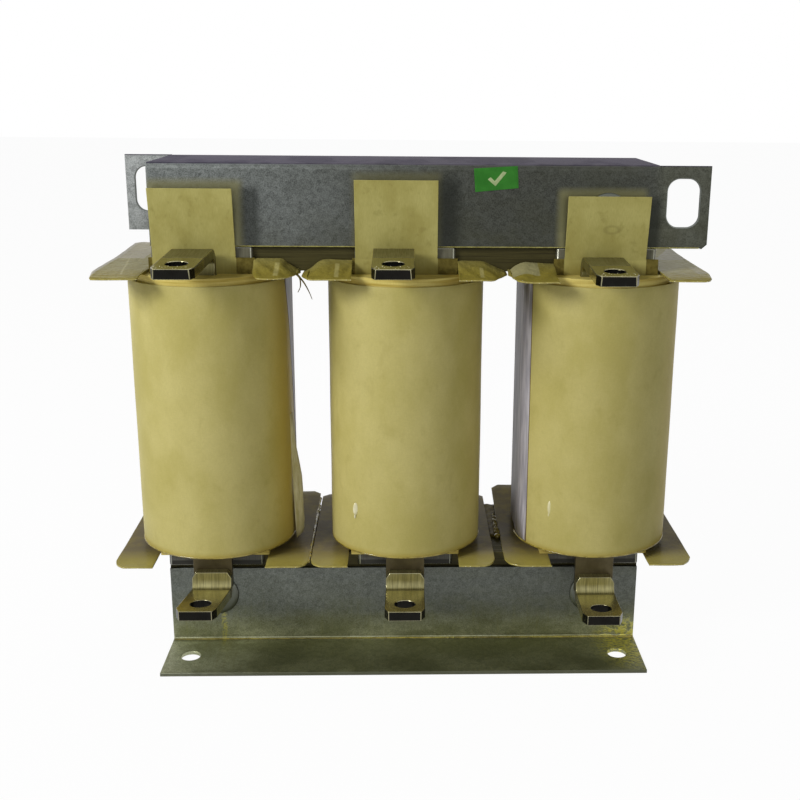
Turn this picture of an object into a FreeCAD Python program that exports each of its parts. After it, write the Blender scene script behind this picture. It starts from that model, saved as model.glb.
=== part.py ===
import FreeCAD, Part
import math
import os

# Three-phase motor reactor: a gapped three-leg iron core with a coil on each leg, held between a
# folded channel over the top yoke and two folded foot brackets on the bottom yoke.
# Millimetres. X runs along the core, -Y is the front with the terminals, +Z is up. The origin is
# the centre of the four foot holes, on the plane that the feet stand on.

# Core
LEG_WIDTH = 50.0
WINDOW_WIDTH = 50.0
LEG_HEIGHT = 150.0
YOKE_HEIGHT = 50.0
STACK_DEPTH = 63.0
AIR_GAP = 1.0
CORE_LIFT = 1.0

# Packing plates that lie on the front and rear of each leg, between the clamps
PACKING_THICKNESS = 2.4
PACKING_EDGE_BEVEL = 1.0
PACKING_LOW_CLEARANCE = 2.0
PACKING_HIGH_CLEARANCE = 0.5

# Clamps, folded from galvanised sheet
SHEET = 2.0
BEND_RADIUS = 1.0
CHANNEL_FIT = 0.3
CHANNEL_FLANGE = 40.0
EAR_LENGTH = 25.0
EAR_CORNER_RADIUS = 4.0
EAR_SLOT_WIDTH = 16.0
EAR_SLOT_HEIGHT = 23.5
EAR_SLOT_RADIUS = 6.0
EAR_SLOT_INSET = 13.0
EAR_SLOT_DROP = 18.0
FOOT_WALL_HEIGHT = 43.0
FOOT_REACH = 38.5
FOOT_HOLE = 10.0
FOOT_HOLE_END_INSET = 12.5
FOOT_HOLE_EDGE_INSET = 18.5

# Clamping bolts through the yokes, on the centre lines of the outer legs
BOLT_DIAMETER = 8.0
BOLT_HOLE_CLEARANCE = 0.5
BOLT_HEAD_DIAMETER = 22.0
BOLT_HEAD_HEIGHT = 2.0
BOLT_STANDOUT = 3.0
LOW_BOLT_HEIGHT = 28.0
TOP_BOLT_DROP = 24.0
NUT_ACROSS_FLATS = 13.0
NUT_HEIGHT = 6.5

# Sheet liners between leg and winding. The side liners fold out over the ends of the coil as
# wings, and the front ones rise from a shoulder as tabs that lean over the top bolt heads.
LINER = 0.8
LINER_FIT = 0.25
SIDE_FIT = 0.3
WING_SLIT = 1.1
WING_OVERHANG = 4.5
WING_SEAM = 2.0
WING_FRONT_CORNER = 9.0
WING_REAR_CORNER = 4.0
WING_SEAT = 0.2
SHOULDER_RISE = 7.0
SHOULDER_WIDTH = 5.8
TAB_FOLD_BELOW_SHOULDER = 0.5
TAB_LENGTHS = (33.9, 38.4, 31.2)
TAB_OFFSETS = (-3.6, -4.3, -0.5)
TAB_HEAD_CLEARANCES = (2.0, 2.2, 2.6)

# Coils: how far the winding is built up at the side of the leg and at its corner, the wall of the
# collar that it stands on, what stays bare between the wraps and the wings, and the sheets outside
COIL_SIDE_BUILD = 14.5
COIL_CORNER_BUILD = 4.65
COLLAR_WALL = 2.0
BOTTOM_MARGIN = 4.0
TOP_MARGIN = 4.0
WRAP = 0.8
WRAP_FIT = 0.1
SIDE_SHEET = 0.7
SIDE_SHEET_TUCK = 19.5
WINDING_FIT = 0.3
REAR_WRAP_EDGE = 24.0
# Where each front wrap ends on the left and on the right side of its coil, low and high
FRONT_WRAP_EDGES = (
    ((-12.0, -12.0), (14.0, -22.0)),
    ((-16.0, -16.0), (-6.0, -14.0)),
    ((-26.0, -27.0), (-8.0, -8.0)),
)

# Terminals, bent from copper bar. Each is formed by hand, so the three of a row differ a little.
# The top ones run down into the winding, and the bottom ones are brazed on strips that leave it.
BAR_WIDTH = 20.0
BAR_THICKNESS = 5.0
BAR_BEND_RADIUS = 3.0
BAR_CORNER_CUT = 2.0
BAR_FIT = 0.3
BAR_HOLE = 10.5
BAR_HOLE_INSET = 11.0
LEAD_END_COVER = 8.0
LOW_LEAD_THICKNESS = 3.0
LOW_LEAD_COVER = 0.85
TOP_BAR_REACH = 50.0
TOP_BAR_RISES = (13.7, 14.4, 10.3)
TOP_BAR_OFFSETS = (-3.0, -5.5, -2.8)
TOP_BAR_SKEWS = (-2.4, 0.0, 0.3)
TOP_BAR_DROOPS = (4.5, 5.0, 3.5)
LOW_BAR_REACH = 39.5
LOW_BAR_UPSTAND = 5.2
LOW_BAR_DROPS = (1.8, 2.6, 5.5)
LOW_BAR_OFFSETS = (0.4, 0.0, -0.9)
LOW_BAR_SKEWS = (-2.8, -0.2, -1.0)

# Sizes and places that follow
PHASES = ("left", "centre", "right")
LEG_PITCH = LEG_WIDTH + WINDOW_WIDTH
HALF_LENGTH = LEG_PITCH + LEG_WIDTH / 2
HALF_STACK = STACK_DEPTH / 2
LOW_YOKE_TOP = CORE_LIFT + YOKE_HEIGHT
LEG_TOP = LOW_YOKE_TOP + LEG_HEIGHT
TOP_YOKE_BOTTOM = LEG_TOP + AIR_GAP
TOP_YOKE_TOP = TOP_YOKE_BOTTOM + YOKE_HEIGHT
CHANNEL_INNER_FACE = HALF_STACK + CHANNEL_FIT
CHANNEL_FACE = CHANNEL_INNER_FACE + SHEET
CHANNEL_TOP = TOP_YOKE_TOP + CHANNEL_FIT + SHEET
CHANNEL_LOW_EDGE = CHANNEL_TOP - CHANNEL_FLANGE
TOP_BOLT_HEIGHT = CHANNEL_TOP - TOP_BOLT_DROP
EAR_END = HALF_LENGTH + EAR_LENGTH
FOOT_FACE = HALF_STACK + SHEET
FOOT_EDGE = FOOT_FACE + FOOT_REACH
FOOT_HOLE_X = HALF_LENGTH - FOOT_HOLE_END_INSET
FOOT_HOLE_Y = FOOT_EDGE - FOOT_HOLE_EDGE_INSET
PACKING_FACE = HALF_STACK + PACKING_THICKNESS
LINER_INNER_FACE = PACKING_FACE + LINER_FIT
LINER_FACE = LINER_INNER_FACE + LINER
SIDE_INNER_FACE = LEG_WIDTH / 2 + SIDE_FIT
SIDE_FACE = SIDE_INNER_FACE + LINER
LOW_WING_BOTTOM = LOW_YOKE_TOP + WING_SEAT
TOP_WING_TOP = TOP_YOKE_BOTTOM - WING_SEAT
SHOULDER_HEIGHT = TOP_WING_TOP + SHOULDER_RISE
TAB_FOLD_HEIGHT = SHOULDER_HEIGHT - TAB_FOLD_BELOW_SHOULDER
WINDING_INNER_X = SIDE_FACE + WINDING_FIT
WINDING_INNER_Y = LINER_FACE + WINDING_FIT
WINDING_BOTTOM = LOW_WING_BOTTOM + LINER + WRAP_FIT
WINDING_TOP = TOP_WING_TOP - LINER - WRAP_FIT
COIL_BOTTOM = LOW_WING_BOTTOM + LINER + BOTTOM_MARGIN
COIL_TOP = TOP_WING_TOP - LINER - TOP_MARGIN
COIL_RADIUS = LEG_WIDTH / 2 + COIL_SIDE_BUILD
COIL_HALF_FLAT = WINDING_INNER_Y - math.sqrt((COIL_RADIUS - COIL_CORNER_BUILD) ** 2 - WINDING_INNER_X**2)
COIL_HALF_DEPTH = COIL_HALF_FLAT + COIL_RADIUS
WINDING_RADIUS = COIL_RADIUS - WRAP - WRAP_FIT
SIDE_SHEET_HALF_DEPTH = COIL_HALF_FLAT + SIDE_SHEET_TUCK
WING_ROOT = SIDE_FACE + WING_SLIT
WING_REACH = (LEG_PITCH - WING_SEAM) / 2
WING_HALF_DEPTH = COIL_HALF_DEPTH + WING_OVERHANG
TOP_BAR_BACK = -(LINER_FACE + WRAP_FIT)
TOP_LEAD_END = WINDING_BOTTOM + LEAD_END_COVER
LOW_LEAD_END = WINDING_TOP - LEAD_END_COVER
LOW_POCKET_SPREAD = BAR_WIDTH / 2 + BAR_FIT + max(abs(offset) for offset in LOW_BAR_OFFSETS)
LOW_LEAD_FRONT = LOW_LEAD_COVER - COIL_HALF_FLAT - math.sqrt(WINDING_RADIUS**2 - LOW_POCKET_SPREAD**2)

# Past every piece, for the ends of the blocks that cut them
BEYOND = 2 * EAR_END


def box(x_low, x_high, y_low, y_high, z_low, z_high):
    corner = FreeCAD.Vector(x_low, y_low, z_low)
    return Part.makeBox(x_high - x_low, y_high - y_low, z_high - z_low, corner)


def rod(radius, x, z, y_low, y_high):
    # Cylinder along Y
    return Part.makeCylinder(radius, y_high - y_low, FreeCAD.Vector(x, y_low, z), FreeCAD.Vector(0, 1, 0))


def rounded_wire(points, radii):
    # Closed outline through the points, with each corner rounded by its own radius
    count = len(points)
    corners = []
    for index, point in enumerate(points):
        to_last = (points[index - 1] - point).normalize()
        to_next = (points[(index + 1) % count] - point).normalize()
        half_angle = to_last.getAngle(to_next) / 2
        setback = radii[index] / math.tan(half_angle)
        bisector = (to_last + to_next).normalize()
        crest = point + bisector * (radii[index] / math.sin(half_angle) - radii[index])
        corners.append((point + to_last * setback, crest, point + to_next * setback))
    edges = []
    for index, (start, crest, end) in enumerate(corners):
        if radii[index]:
            edges.append(Part.Arc(start, crest, end).toShape())
        edges.append(Part.makeLine(end, corners[(index + 1) % count][0]))
    return Part.Wire(edges)


def prism(axis, outline, low, high):
    # Outline in the plane square to the axis, drawn out from low to high. Each point of the
    # outline is its two coordinates, in the order X, Y, Z, and the radius of its corner.
    place = {
        "X": lambda first, second: FreeCAD.Vector(low, first, second),
        "Y": lambda first, second: FreeCAD.Vector(first, low, second),
        "Z": lambda first, second: FreeCAD.Vector(first, second, low),
    }[axis]
    points = [place(first, second) for first, second, radius in outline]
    wire = rounded_wire(points, [radius for first, second, radius in outline])
    run = FreeCAD.Vector(*(high - low if name == axis else 0 for name in "XYZ"))
    return Part.Face(wire).extrude(run)


def obround(radius, z_low, z_high):
    # Upright block with flat sides and a half-round front and rear
    flat = COIL_HALF_FLAT
    front = Part.Arc(
        FreeCAD.Vector(-radius, -flat, z_low),
        FreeCAD.Vector(0, -flat - radius, z_low),
        FreeCAD.Vector(radius, -flat, z_low),
    )
    rear = Part.Arc(
        FreeCAD.Vector(radius, flat, z_low),
        FreeCAD.Vector(0, flat + radius, z_low),
        FreeCAD.Vector(-radius, flat, z_low),
    )
    right = Part.makeLine(front.EndPoint, rear.StartPoint)
    left = Part.makeLine(rear.EndPoint, front.StartPoint)
    wire = Part.Wire([front.toShape(), right, rear.toShape(), left])
    return Part.Face(wire).extrude(FreeCAD.Vector(0, 0, z_high - z_low))


def mirrored(shape):
    # The same piece on the rear of the reactor
    return shape.mirror(FreeCAD.Vector(0, 0, 0), FreeCAD.Vector(0, 1, 0))


def leg_places():
    return [(index - 1) * LEG_PITCH for index in range(len(PHASES))]


def bolt_places():
    # X, height and clamp face of each clamping bolt
    places = []
    for side in (-1, 1):
        places.append((side * LEG_PITCH, LOW_BOLT_HEIGHT, FOOT_FACE))
        places.append((side * LEG_PITCH, TOP_BOLT_HEIGHT, CHANNEL_FACE))
    return places


def drilled(shape):
    # Holes for the clamping bolts, cut through whatever of them meets the shape
    for x, height, face in bolt_places():
        shape = shape.cut(rod(BOLT_DIAMETER / 2 + BOLT_HOLE_CLEARANCE, x, height, -BEYOND, BEYOND))
    return shape


def lower_core_stack():
    # Bottom yoke and the three legs, one varnished lamination stack
    stack = box(-HALF_LENGTH, HALF_LENGTH, -HALF_STACK, HALF_STACK, CORE_LIFT, LOW_YOKE_TOP)
    for x in leg_places():
        leg = box(x - LEG_WIDTH / 2, x + LEG_WIDTH / 2, -HALF_STACK, HALF_STACK, LOW_YOKE_TOP, LEG_TOP)
        stack = stack.fuse(leg)
    return drilled(stack.removeSplitter())


def upper_yoke_stack():
    yoke = box(-HALF_LENGTH, HALF_LENGTH, -HALF_STACK, HALF_STACK, TOP_YOKE_BOTTOM, TOP_YOKE_TOP)
    return drilled(yoke)


def gap_spacer(x):
    # Insulating plate that sets the air gap over a leg
    return box(x - LEG_WIDTH / 2, x + LEG_WIDTH / 2, -HALF_STACK, HALF_STACK, LEG_TOP, TOP_YOKE_BOTTOM)


def front_packing_plate(x):
    # Flat bar with bevelled edges on the front of a leg
    half = LEG_WIDTH / 2
    edge = PACKING_EDGE_BEVEL
    outline = [
        (x - half, -HALF_STACK, 0),
        (x - half, edge - PACKING_FACE, 0),
        (x + edge - half, -PACKING_FACE, 0),
        (x + half - edge, -PACKING_FACE, 0),
        (x + half, edge - PACKING_FACE, 0),
        (x + half, -HALF_STACK, 0),
    ]
    low = FOOT_WALL_HEIGHT + PACKING_LOW_CLEARANCE
    return prism("Z", outline, low, CHANNEL_LOW_EDGE - PACKING_HIGH_CLEARANCE)


def front_ear():
    # Flat end of the front flange, past the web, with its slot
    low = CHANNEL_LOW_EDGE
    middle = CHANNEL_TOP - EAR_SLOT_DROP
    ear = prism("Y", [
        (HALF_LENGTH, low, 0),
        (EAR_END, low, EAR_CORNER_RADIUS),
        (EAR_END, CHANNEL_TOP, 0),
        (HALF_LENGTH, CHANNEL_TOP, 0),
    ], -CHANNEL_FACE, -CHANNEL_INNER_FACE)
    slot_low = middle - EAR_SLOT_HEIGHT / 2
    slot_high = middle + EAR_SLOT_HEIGHT / 2
    slot_left = EAR_END - EAR_SLOT_INSET - EAR_SLOT_WIDTH / 2
    slot_right = slot_left + EAR_SLOT_WIDTH
    slot = prism("Y", [
        (slot_left, slot_low, EAR_SLOT_RADIUS),
        (slot_right, slot_low, EAR_SLOT_RADIUS),
        (slot_right, slot_high, EAR_SLOT_RADIUS),
        (slot_left, slot_high, EAR_SLOT_RADIUS),
    ], -BEYOND, 0)
    return ear.cut(slot)


def top_clamp_channel():
    # Inverted U over the top yoke. The front flange runs on to the right as an ear and the rear
    # flange to the left, so the channel is the same turned half round.
    inner = CHANNEL_INNER_FACE
    outer = CHANNEL_FACE
    low = CHANNEL_LOW_EDGE
    under_web = CHANNEL_TOP - SHEET
    channel = prism("X", [
        (-outer, low, 0),
        (-outer, CHANNEL_TOP, BEND_RADIUS + SHEET),
        (outer, CHANNEL_TOP, BEND_RADIUS + SHEET),
        (outer, low, 0),
        (inner, low, 0),
        (inner, under_web, BEND_RADIUS),
        (-inner, under_web, BEND_RADIUS),
        (-inner, low, 0),
    ], -HALF_LENGTH, HALF_LENGTH)
    ear = front_ear()
    rear_ear = ear.copy()
    rear_ear.rotate(FreeCAD.Vector(0, 0, 0), FreeCAD.Vector(0, 0, 1), 180)
    channel = channel.fuse([ear, rear_ear]).removeSplitter()
    return drilled(channel)


def front_foot_bracket():
    # Wall on the front of the bottom yoke, folded forwards into the foot
    bracket = prism("X", [
        (-HALF_STACK, FOOT_WALL_HEIGHT, 0),
        (-HALF_STACK, 0, BEND_RADIUS + SHEET),
        (-FOOT_EDGE, 0, 0),
        (-FOOT_EDGE, SHEET, 0),
        (-FOOT_FACE, SHEET, BEND_RADIUS),
        (-FOOT_FACE, FOOT_WALL_HEIGHT, 0),
    ], -HALF_LENGTH, HALF_LENGTH)
    for side in (-1, 1):
        seat = FreeCAD.Vector(side * FOOT_HOLE_X, -FOOT_HOLE_Y, 0)
        bracket = bracket.cut(Part.makeCylinder(FOOT_HOLE / 2, SHEET, seat))
    return drilled(bracket)


def clamp_bolt(x, height, face):
    # Low round head on the front clamp, shank through to the nut on the rear one
    head = rod(BOLT_HEAD_DIAMETER / 2, x, height, -face - BOLT_HEAD_HEIGHT, -face)
    shank = rod(BOLT_DIAMETER / 2, x, height, -face, face + NUT_HEIGHT + BOLT_STANDOUT)
    return head.fuse(shank).removeSplitter()


def clamp_nut(x, height, face):
    # Hexagon nut against the rear clamp
    reach = NUT_ACROSS_FLATS / 2 / math.cos(math.pi / 6)
    corners = [(math.cos(turn * math.pi / 3), math.sin(turn * math.pi / 3)) for turn in range(6)]
    outline = [(x + reach * across, height + reach * up, 0) for across, up in corners]
    nut = prism("Y", outline, face, face + NUT_HEIGHT)
    return nut.cut(rod(BOLT_DIAMETER / 2, x, height, 0, BEYOND))


def at_each_bolt(piece):
    # One node that holds the same fastener at every bolt, as separate solids
    return Part.makeCompound([piece(*place) for place in bolt_places()])


def front_liner(phase):
    # Sheet between the front of the leg and the winding. Over the coil it narrows to a tab that
    # leans forwards, clear of the bolt head, between the terminal and the clamp.
    head_face = CHANNEL_FACE + BOLT_HEAD_HEIGHT + TAB_HEAD_CLEARANCES[phase]
    slope = (head_face - LINER_INNER_FACE) / (TOP_BOLT_HEIGHT - TAB_FOLD_HEIGHT)
    lean = math.atan(slope)
    top = SHOULDER_HEIGHT + TAB_LENGTHS[phase]
    inner_top = LINER_INNER_FACE + (top - TAB_FOLD_HEIGHT) * slope
    outer_fold = TAB_FOLD_HEIGHT - LINER * math.tan(lean / 2)
    low = LOW_WING_BOTTOM + LINER
    fold = prism("X", [
        (-LINER_INNER_FACE, low, 0),
        (-LINER_INNER_FACE, TAB_FOLD_HEIGHT, 0),
        (-inner_top, top, 0),
        (-inner_top - LINER / math.cos(lean), top, 0),
        (-LINER_FACE, outer_fold, 0),
        (-LINER_FACE, low, 0),
    ], -SIDE_FACE, SIDE_FACE)
    tab_left = TAB_OFFSETS[phase] - (SIDE_FACE - SHOULDER_WIDTH)
    tab_right = TAB_OFFSETS[phase] + (SIDE_FACE - SHOULDER_WIDTH)
    sheet = box(-SIDE_FACE, SIDE_FACE, -BEYOND, 0, low, SHOULDER_HEIGHT)
    tab = box(tab_left, tab_right, -BEYOND, 0, low, top)
    return fold.common(sheet.fuse(tab)).removeSplitter()


def rear_liner():
    # The terminals are all at the front, so the rear sheet ends at the shoulder
    low = LOW_WING_BOTTOM + LINER
    return box(-SIDE_FACE, SIDE_FACE, LINER_INNER_FACE, LINER_FACE, low, SHOULDER_HEIGHT)


def right_side_liner():
    # Sheet on the side of a leg, folded out over both ends of the coil as wings that stand out
    # past the coil at its front and rear
    inner = SIDE_INNER_FACE
    depth = PACKING_FACE
    liner = box(inner, SIDE_FACE, -depth, depth, LOW_WING_BOTTOM, TOP_WING_TOP)
    for low in (LOW_WING_BOTTOM, TOP_WING_TOP - LINER):
        neck = box(inner, WING_ROOT, -depth, depth, low, low + LINER)
        wing = prism("Z", [
            (WING_ROOT, -WING_HALF_DEPTH, 0),
            (WING_REACH, -WING_HALF_DEPTH, WING_FRONT_CORNER),
            (WING_REACH, WING_HALF_DEPTH - WING_REAR_CORNER, 0),
            (WING_REACH - WING_REAR_CORNER, WING_HALF_DEPTH, 0),
            (WING_ROOT, WING_HALF_DEPTH, 0),
        ], low, low + LINER)
        liner = liner.fuse([neck, wing])
    return liner.removeSplitter()


def left_side_liner():
    return right_side_liner().mirror(FreeCAD.Vector(0, 0, 0), FreeCAD.Vector(1, 0, 0))


def lead_pocket(offset, front, back, z_low, z_high):
    # Room for the upright lead of a terminal
    half = BAR_WIDTH / 2 + BAR_FIT
    return box(offset - half, offset + half, front - BAR_FIT, back + BAR_FIT, z_low, z_high)


def side_shell(outer_radius, thickness, half_depth, z_low, z_high):
    # The two flat sides of a coil with the start of the curves next to them
    shell = obround(outer_radius, z_low, z_high).cut(obround(outer_radius - thickness, z_low, z_high))
    return shell.common(box(-BEYOND, BEYOND, -half_depth, half_depth, z_low, z_high))


def winding(phase):
    # Foil and insulation wound as one block round the liners, pressed in by the side sheets,
    # with pockets for the lead of the top terminal inside and that of the bottom one outside. A
    # collar round the liners stands on the bottom wings and carries it.
    low = WINDING_BOTTOM
    high = WINDING_TOP
    inner_x = WINDING_INNER_X
    inner_y = WINDING_INNER_Y
    outer_x = inner_x + COLLAR_WALL
    outer_y = inner_y + COLLAR_WALL
    collar = box(-outer_x, outer_x, -outer_y, outer_y, low, COIL_BOTTOM)
    block = obround(WINDING_RADIUS, COIL_BOTTOM, high).fuse(collar)
    opening = box(-inner_x, inner_x, -inner_y, inner_y, low, high)
    pressed_in = SIDE_SHEET + WRAP_FIT
    seats = side_shell(WINDING_RADIUS, pressed_in, SIDE_SHEET_HALF_DEPTH + WRAP_FIT, COIL_BOTTOM, high)
    top_front = TOP_BAR_BACK - BAR_THICKNESS
    top_lead = lead_pocket(TOP_BAR_OFFSETS[phase], top_front, TOP_BAR_BACK, TOP_LEAD_END - BAR_FIT, high)
    low_back = LOW_LEAD_FRONT + LOW_LEAD_THICKNESS
    low_end = LOW_LEAD_END + BAR_FIT
    low_lead = lead_pocket(LOW_BAR_OFFSETS[phase], LOW_LEAD_FRONT, low_back, COIL_BOTTOM, low_end)
    return block.cut([opening, seats, top_lead, low_lead])


def side_sheets():
    # Pale sheets on the flat sides of the winding, their ends tucked under the outer wraps
    return side_shell(WINDING_RADIUS, SIDE_SHEET, SIDE_SHEET_HALF_DEPTH, COIL_BOTTOM, COIL_TOP)


def outer_shell():
    shell = obround(COIL_RADIUS, COIL_BOTTOM, COIL_TOP)
    return shell.cut(obround(COIL_RADIUS - WRAP, COIL_BOTTOM, COIL_TOP))


def front_wrap(phase):
    # Varnished sheet round the front of the coil, its two ends cut by hand
    shell = outer_shell()
    for side, (low_edge, high_edge) in zip((-1, 1), FRONT_WRAP_EDGES[phase]):
        behind = prism("X", [
            (low_edge, COIL_BOTTOM, 0),
            (BEYOND, COIL_BOTTOM, 0),
            (BEYOND, COIL_TOP, 0),
            (high_edge, COIL_TOP, 0),
        ], min(0, side * BEYOND), max(0, side * BEYOND))
        shell = shell.cut(behind)
    return shell


def rear_wrap():
    return outer_shell().cut(box(-BEYOND, BEYOND, -BEYOND, REAR_WRAP_EDGE, COIL_BOTTOM, COIL_TOP))


def bent_bar(back, reach, lead_end, height, offset, skew, droop):
    # Upright part with its back at the given place, bent forwards into the terminal. The height is
    # that of the top surface, carried on to the back, and the droop is its slope.
    slope = math.tan(math.radians(droop))
    slant = math.cos(math.radians(droop))
    dip = math.sin(math.radians(droop))
    front = back - BAR_THICKNESS
    tip = back - reach

    def upper(y):
        return height + (y - back) * slope

    def lower(y):
        return upper(y) - BAR_THICKNESS / slant

    outer_radius = BAR_BEND_RADIUS + BAR_THICKNESS
    upper_tip = (tip, upper(tip), 0)
    lower_tip = (tip + BAR_THICKNESS * dip, upper(tip) - BAR_THICKNESS * slant, 0)
    if lead_end < height:
        side = [
            (front, lead_end, 0),
            (back, lead_end, 0),
            (back, upper(back), outer_radius),
            upper_tip,
            lower_tip,
            (front, lower(front), BAR_BEND_RADIUS),
        ]
    else:
        side = [
            (back, lead_end, 0),
            (front, lead_end, 0),
            (front, upper(front), BAR_BEND_RADIUS),
            upper_tip,
            lower_tip,
            (back, lower(back), outer_radius),
        ]
    half = BAR_WIDTH / 2
    bent = prism("X", side, -BEYOND, BEYOND)
    straight = back - outer_radius
    lead_plan = box(offset - half, offset + half, straight, back, -BEYOND, BEYOND)
    terminal_plan = prism("Z", [
        (offset - half, straight, 0),
        (offset + skew - half, tip + BAR_CORNER_CUT, 0),
        (offset + skew - half + BAR_CORNER_CUT, tip, 0),
        (offset + skew + half - BAR_CORNER_CUT, tip, 0),
        (offset + skew + half, tip + BAR_CORNER_CUT, 0),
        (offset + half, straight, 0),
    ], -BEYOND, BEYOND)
    bar = bent.common(lead_plan.fuse(terminal_plan)).removeSplitter()
    share = (reach - outer_radius - BAR_HOLE_INSET) / (reach - outer_radius)
    hole_y = tip + BAR_HOLE_INSET
    seat = FreeCAD.Vector(offset + skew * share, hole_y, upper(hole_y))
    along = FreeCAD.Vector(0, -dip, slant)
    low_end = seat - along * 2 * BAR_THICKNESS
    return bar.cut(Part.makeCylinder(BAR_HOLE / 2, 4 * BAR_THICKNESS, low_end, along))


def top_terminal(phase):
    height = LEG_TOP + TOP_BAR_RISES[phase]
    return bent_bar(
        TOP_BAR_BACK, TOP_BAR_REACH, TOP_LEAD_END,
        height, TOP_BAR_OFFSETS[phase], TOP_BAR_SKEWS[phase], TOP_BAR_DROOPS[phase],
    )


def bottom_lead(phase):
    # Strip that comes down from the outer turns, to the underside of the terminal brazed on it
    offset = LOW_BAR_OFFSETS[phase]
    half = BAR_WIDTH / 2
    low = LOW_YOKE_TOP - LOW_BAR_DROPS[phase] - LOW_BAR_UPSTAND - BAR_THICKNESS
    back = LOW_LEAD_FRONT + LOW_LEAD_THICKNESS
    return box(offset - half, offset + half, LOW_LEAD_FRONT, back, low, LOW_LEAD_END)


def bottom_terminal(phase):
    # Short upstand with cut corners against the front of the lead, and the terminal before it
    offset = LOW_BAR_OFFSETS[phase]
    half = BAR_WIDTH / 2
    top = LOW_YOKE_TOP - LOW_BAR_DROPS[phase]
    height = top - LOW_BAR_UPSTAND
    bar = bent_bar(LOW_LEAD_FRONT, LOW_BAR_REACH, top, height, offset, LOW_BAR_SKEWS[phase], 0)
    upstand = prism("Y", [
        (offset - half, height, 0),
        (offset - half, top - BAR_CORNER_CUT, 0),
        (offset - half + BAR_CORNER_CUT, top, 0),
        (offset + half - BAR_CORNER_CUT, top, 0),
        (offset + half, top - BAR_CORNER_CUT, 0),
        (offset + half, height, 0),
    ], -BEYOND, 0)
    terminal = box(-BEYOND, BEYOND, -BEYOND, 0, -BEYOND, height)
    return bar.common(upstand.fuse(terminal)).removeSplitter()


def coil_parts(phase):
    # Everything on one leg, round the leg's own centre line
    return {
        "front_liner": front_liner(phase),
        "rear_liner": rear_liner(),
        "left_liner": left_side_liner(),
        "right_liner": right_side_liner(),
        "winding": winding(phase),
        "side_sheets": side_sheets(),
        "front_wrap": front_wrap(phase),
        "rear_wrap": rear_wrap(),
        "top_terminal": top_terminal(phase),
        "bottom_lead": bottom_lead(phase),
        "bottom_terminal": bottom_terminal(phase),
    }


def reactor_parts():
    parts = {
        "lower_core_stack": lower_core_stack(),
        "upper_yoke_stack": upper_yoke_stack(),
        "top_clamp_channel": top_clamp_channel(),
        "front_foot_bracket": front_foot_bracket(),
        "rear_foot_bracket": mirrored(front_foot_bracket()),
        "clamp_bolts": at_each_bolt(clamp_bolt),
        "clamp_nuts": at_each_bolt(clamp_nut),
    }
    for phase, (name, x) in enumerate(zip(PHASES, leg_places())):
        parts[name + "_gap_spacer"] = gap_spacer(x)
        parts[name + "_front_packing_plate"] = front_packing_plate(x)
        parts[name + "_rear_packing_plate"] = mirrored(front_packing_plate(x))
        for piece, shape in coil_parts(phase).items():
            shape.translate(FreeCAD.Vector(x, 0, 0))
            parts[name + "_coil_" + piece] = shape
    return parts


os.makedirs("parts", exist_ok=True)
for node, shape in reactor_parts().items():
    shape.exportStep("parts/" + node + ".step")
    print(node, len(shape.Solids), shape.isValid(), round(shape.Volume, 1))
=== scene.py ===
import math
import random

import bmesh
import bpy
from mathutils import Matrix, Vector, noise


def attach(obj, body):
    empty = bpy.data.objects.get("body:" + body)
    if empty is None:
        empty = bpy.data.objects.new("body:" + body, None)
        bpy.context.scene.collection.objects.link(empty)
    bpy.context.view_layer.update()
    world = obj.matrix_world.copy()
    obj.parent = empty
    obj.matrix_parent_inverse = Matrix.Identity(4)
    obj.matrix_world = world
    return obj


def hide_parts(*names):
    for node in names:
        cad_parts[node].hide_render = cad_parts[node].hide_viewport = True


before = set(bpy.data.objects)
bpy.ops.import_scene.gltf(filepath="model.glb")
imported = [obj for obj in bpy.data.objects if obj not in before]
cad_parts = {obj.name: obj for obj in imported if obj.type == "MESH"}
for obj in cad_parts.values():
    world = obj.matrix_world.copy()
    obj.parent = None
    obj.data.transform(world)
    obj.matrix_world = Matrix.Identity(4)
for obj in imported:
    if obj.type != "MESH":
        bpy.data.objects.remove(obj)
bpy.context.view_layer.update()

# The looks of a three-phase motor reactor. Sizes are in millimetres unless a name says otherwise.
MM = 0.001
RIGHT, LEFT = (1, 0, 0), (-1, 0, 0)
REAR, FRONT = (0, 1, 0), (0, -1, 0)
UP, DOWN = (0, 0, 1), (0, 0, -1)
SIDES = {-1: "left", 1: "right"}
PHASES = ("left", "centre", "right")
LEG_PITCH = 100.0
LEG_PLACES = (-LEG_PITCH, 0.0, LEG_PITCH)

# Core, clamps and bolts, as the solids have them
HALF_LENGTH = 125.0
HALF_STACK = 31.5
LEG_HALF_WIDTH = 25.0
CORE_LOW = 1.0
LOW_YOKE_TOP = 51.0
LEG_TOP = 201.0
TOP_YOKE_LOW = 202.0
TOP_YOKE_TOP = 252.0
SHEET_PITCH = 0.5
CLAMP_FACE = 33.8
CLAMP_LOW_EDGE = 214.3
FOOT_FACE = 33.5
FOOT_SHEET = 2.0
FOOT_FRONT = 72.0
EAR_END = 150.0
EAR_CORNER = 4.0
BOLT_SPOTS = [(x, z, face) for z, face in ((28.0, FOOT_FACE), (230.3, CLAMP_FACE)) for x in (-100.0, 100.0)]
HEAD_PROFILE = ((0, 2.1), (5, 2.05), (8.6, 1.85), (10.2, 1.5), (10.8, 1.0), (11.0, 0.4), (11.0, 0.0))
SHANK_RADIUS = 4.0
BOLT_LENGTH = 76.8
THREAD_ROOT = 3.4
THREAD_PITCH = 1.25
THREAD_TURNS = 9
THREAD_LENGTH = 11.0
NUT_REACH = 7.5
NUT_HEIGHT = 6.5

# Cut corner of the front ear: where its two points lie, back from the end and up from the lower
# edge. And the room that holds the ears' slots.
EAR_CUT_LOW = (2.6, -0.5)
EAR_CUT_HIGH = (0.0, 1.8)
EAR_SLOT_X = (126.0, 149.0)
EAR_SLOT_Z = (216.0, 253.0)

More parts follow.
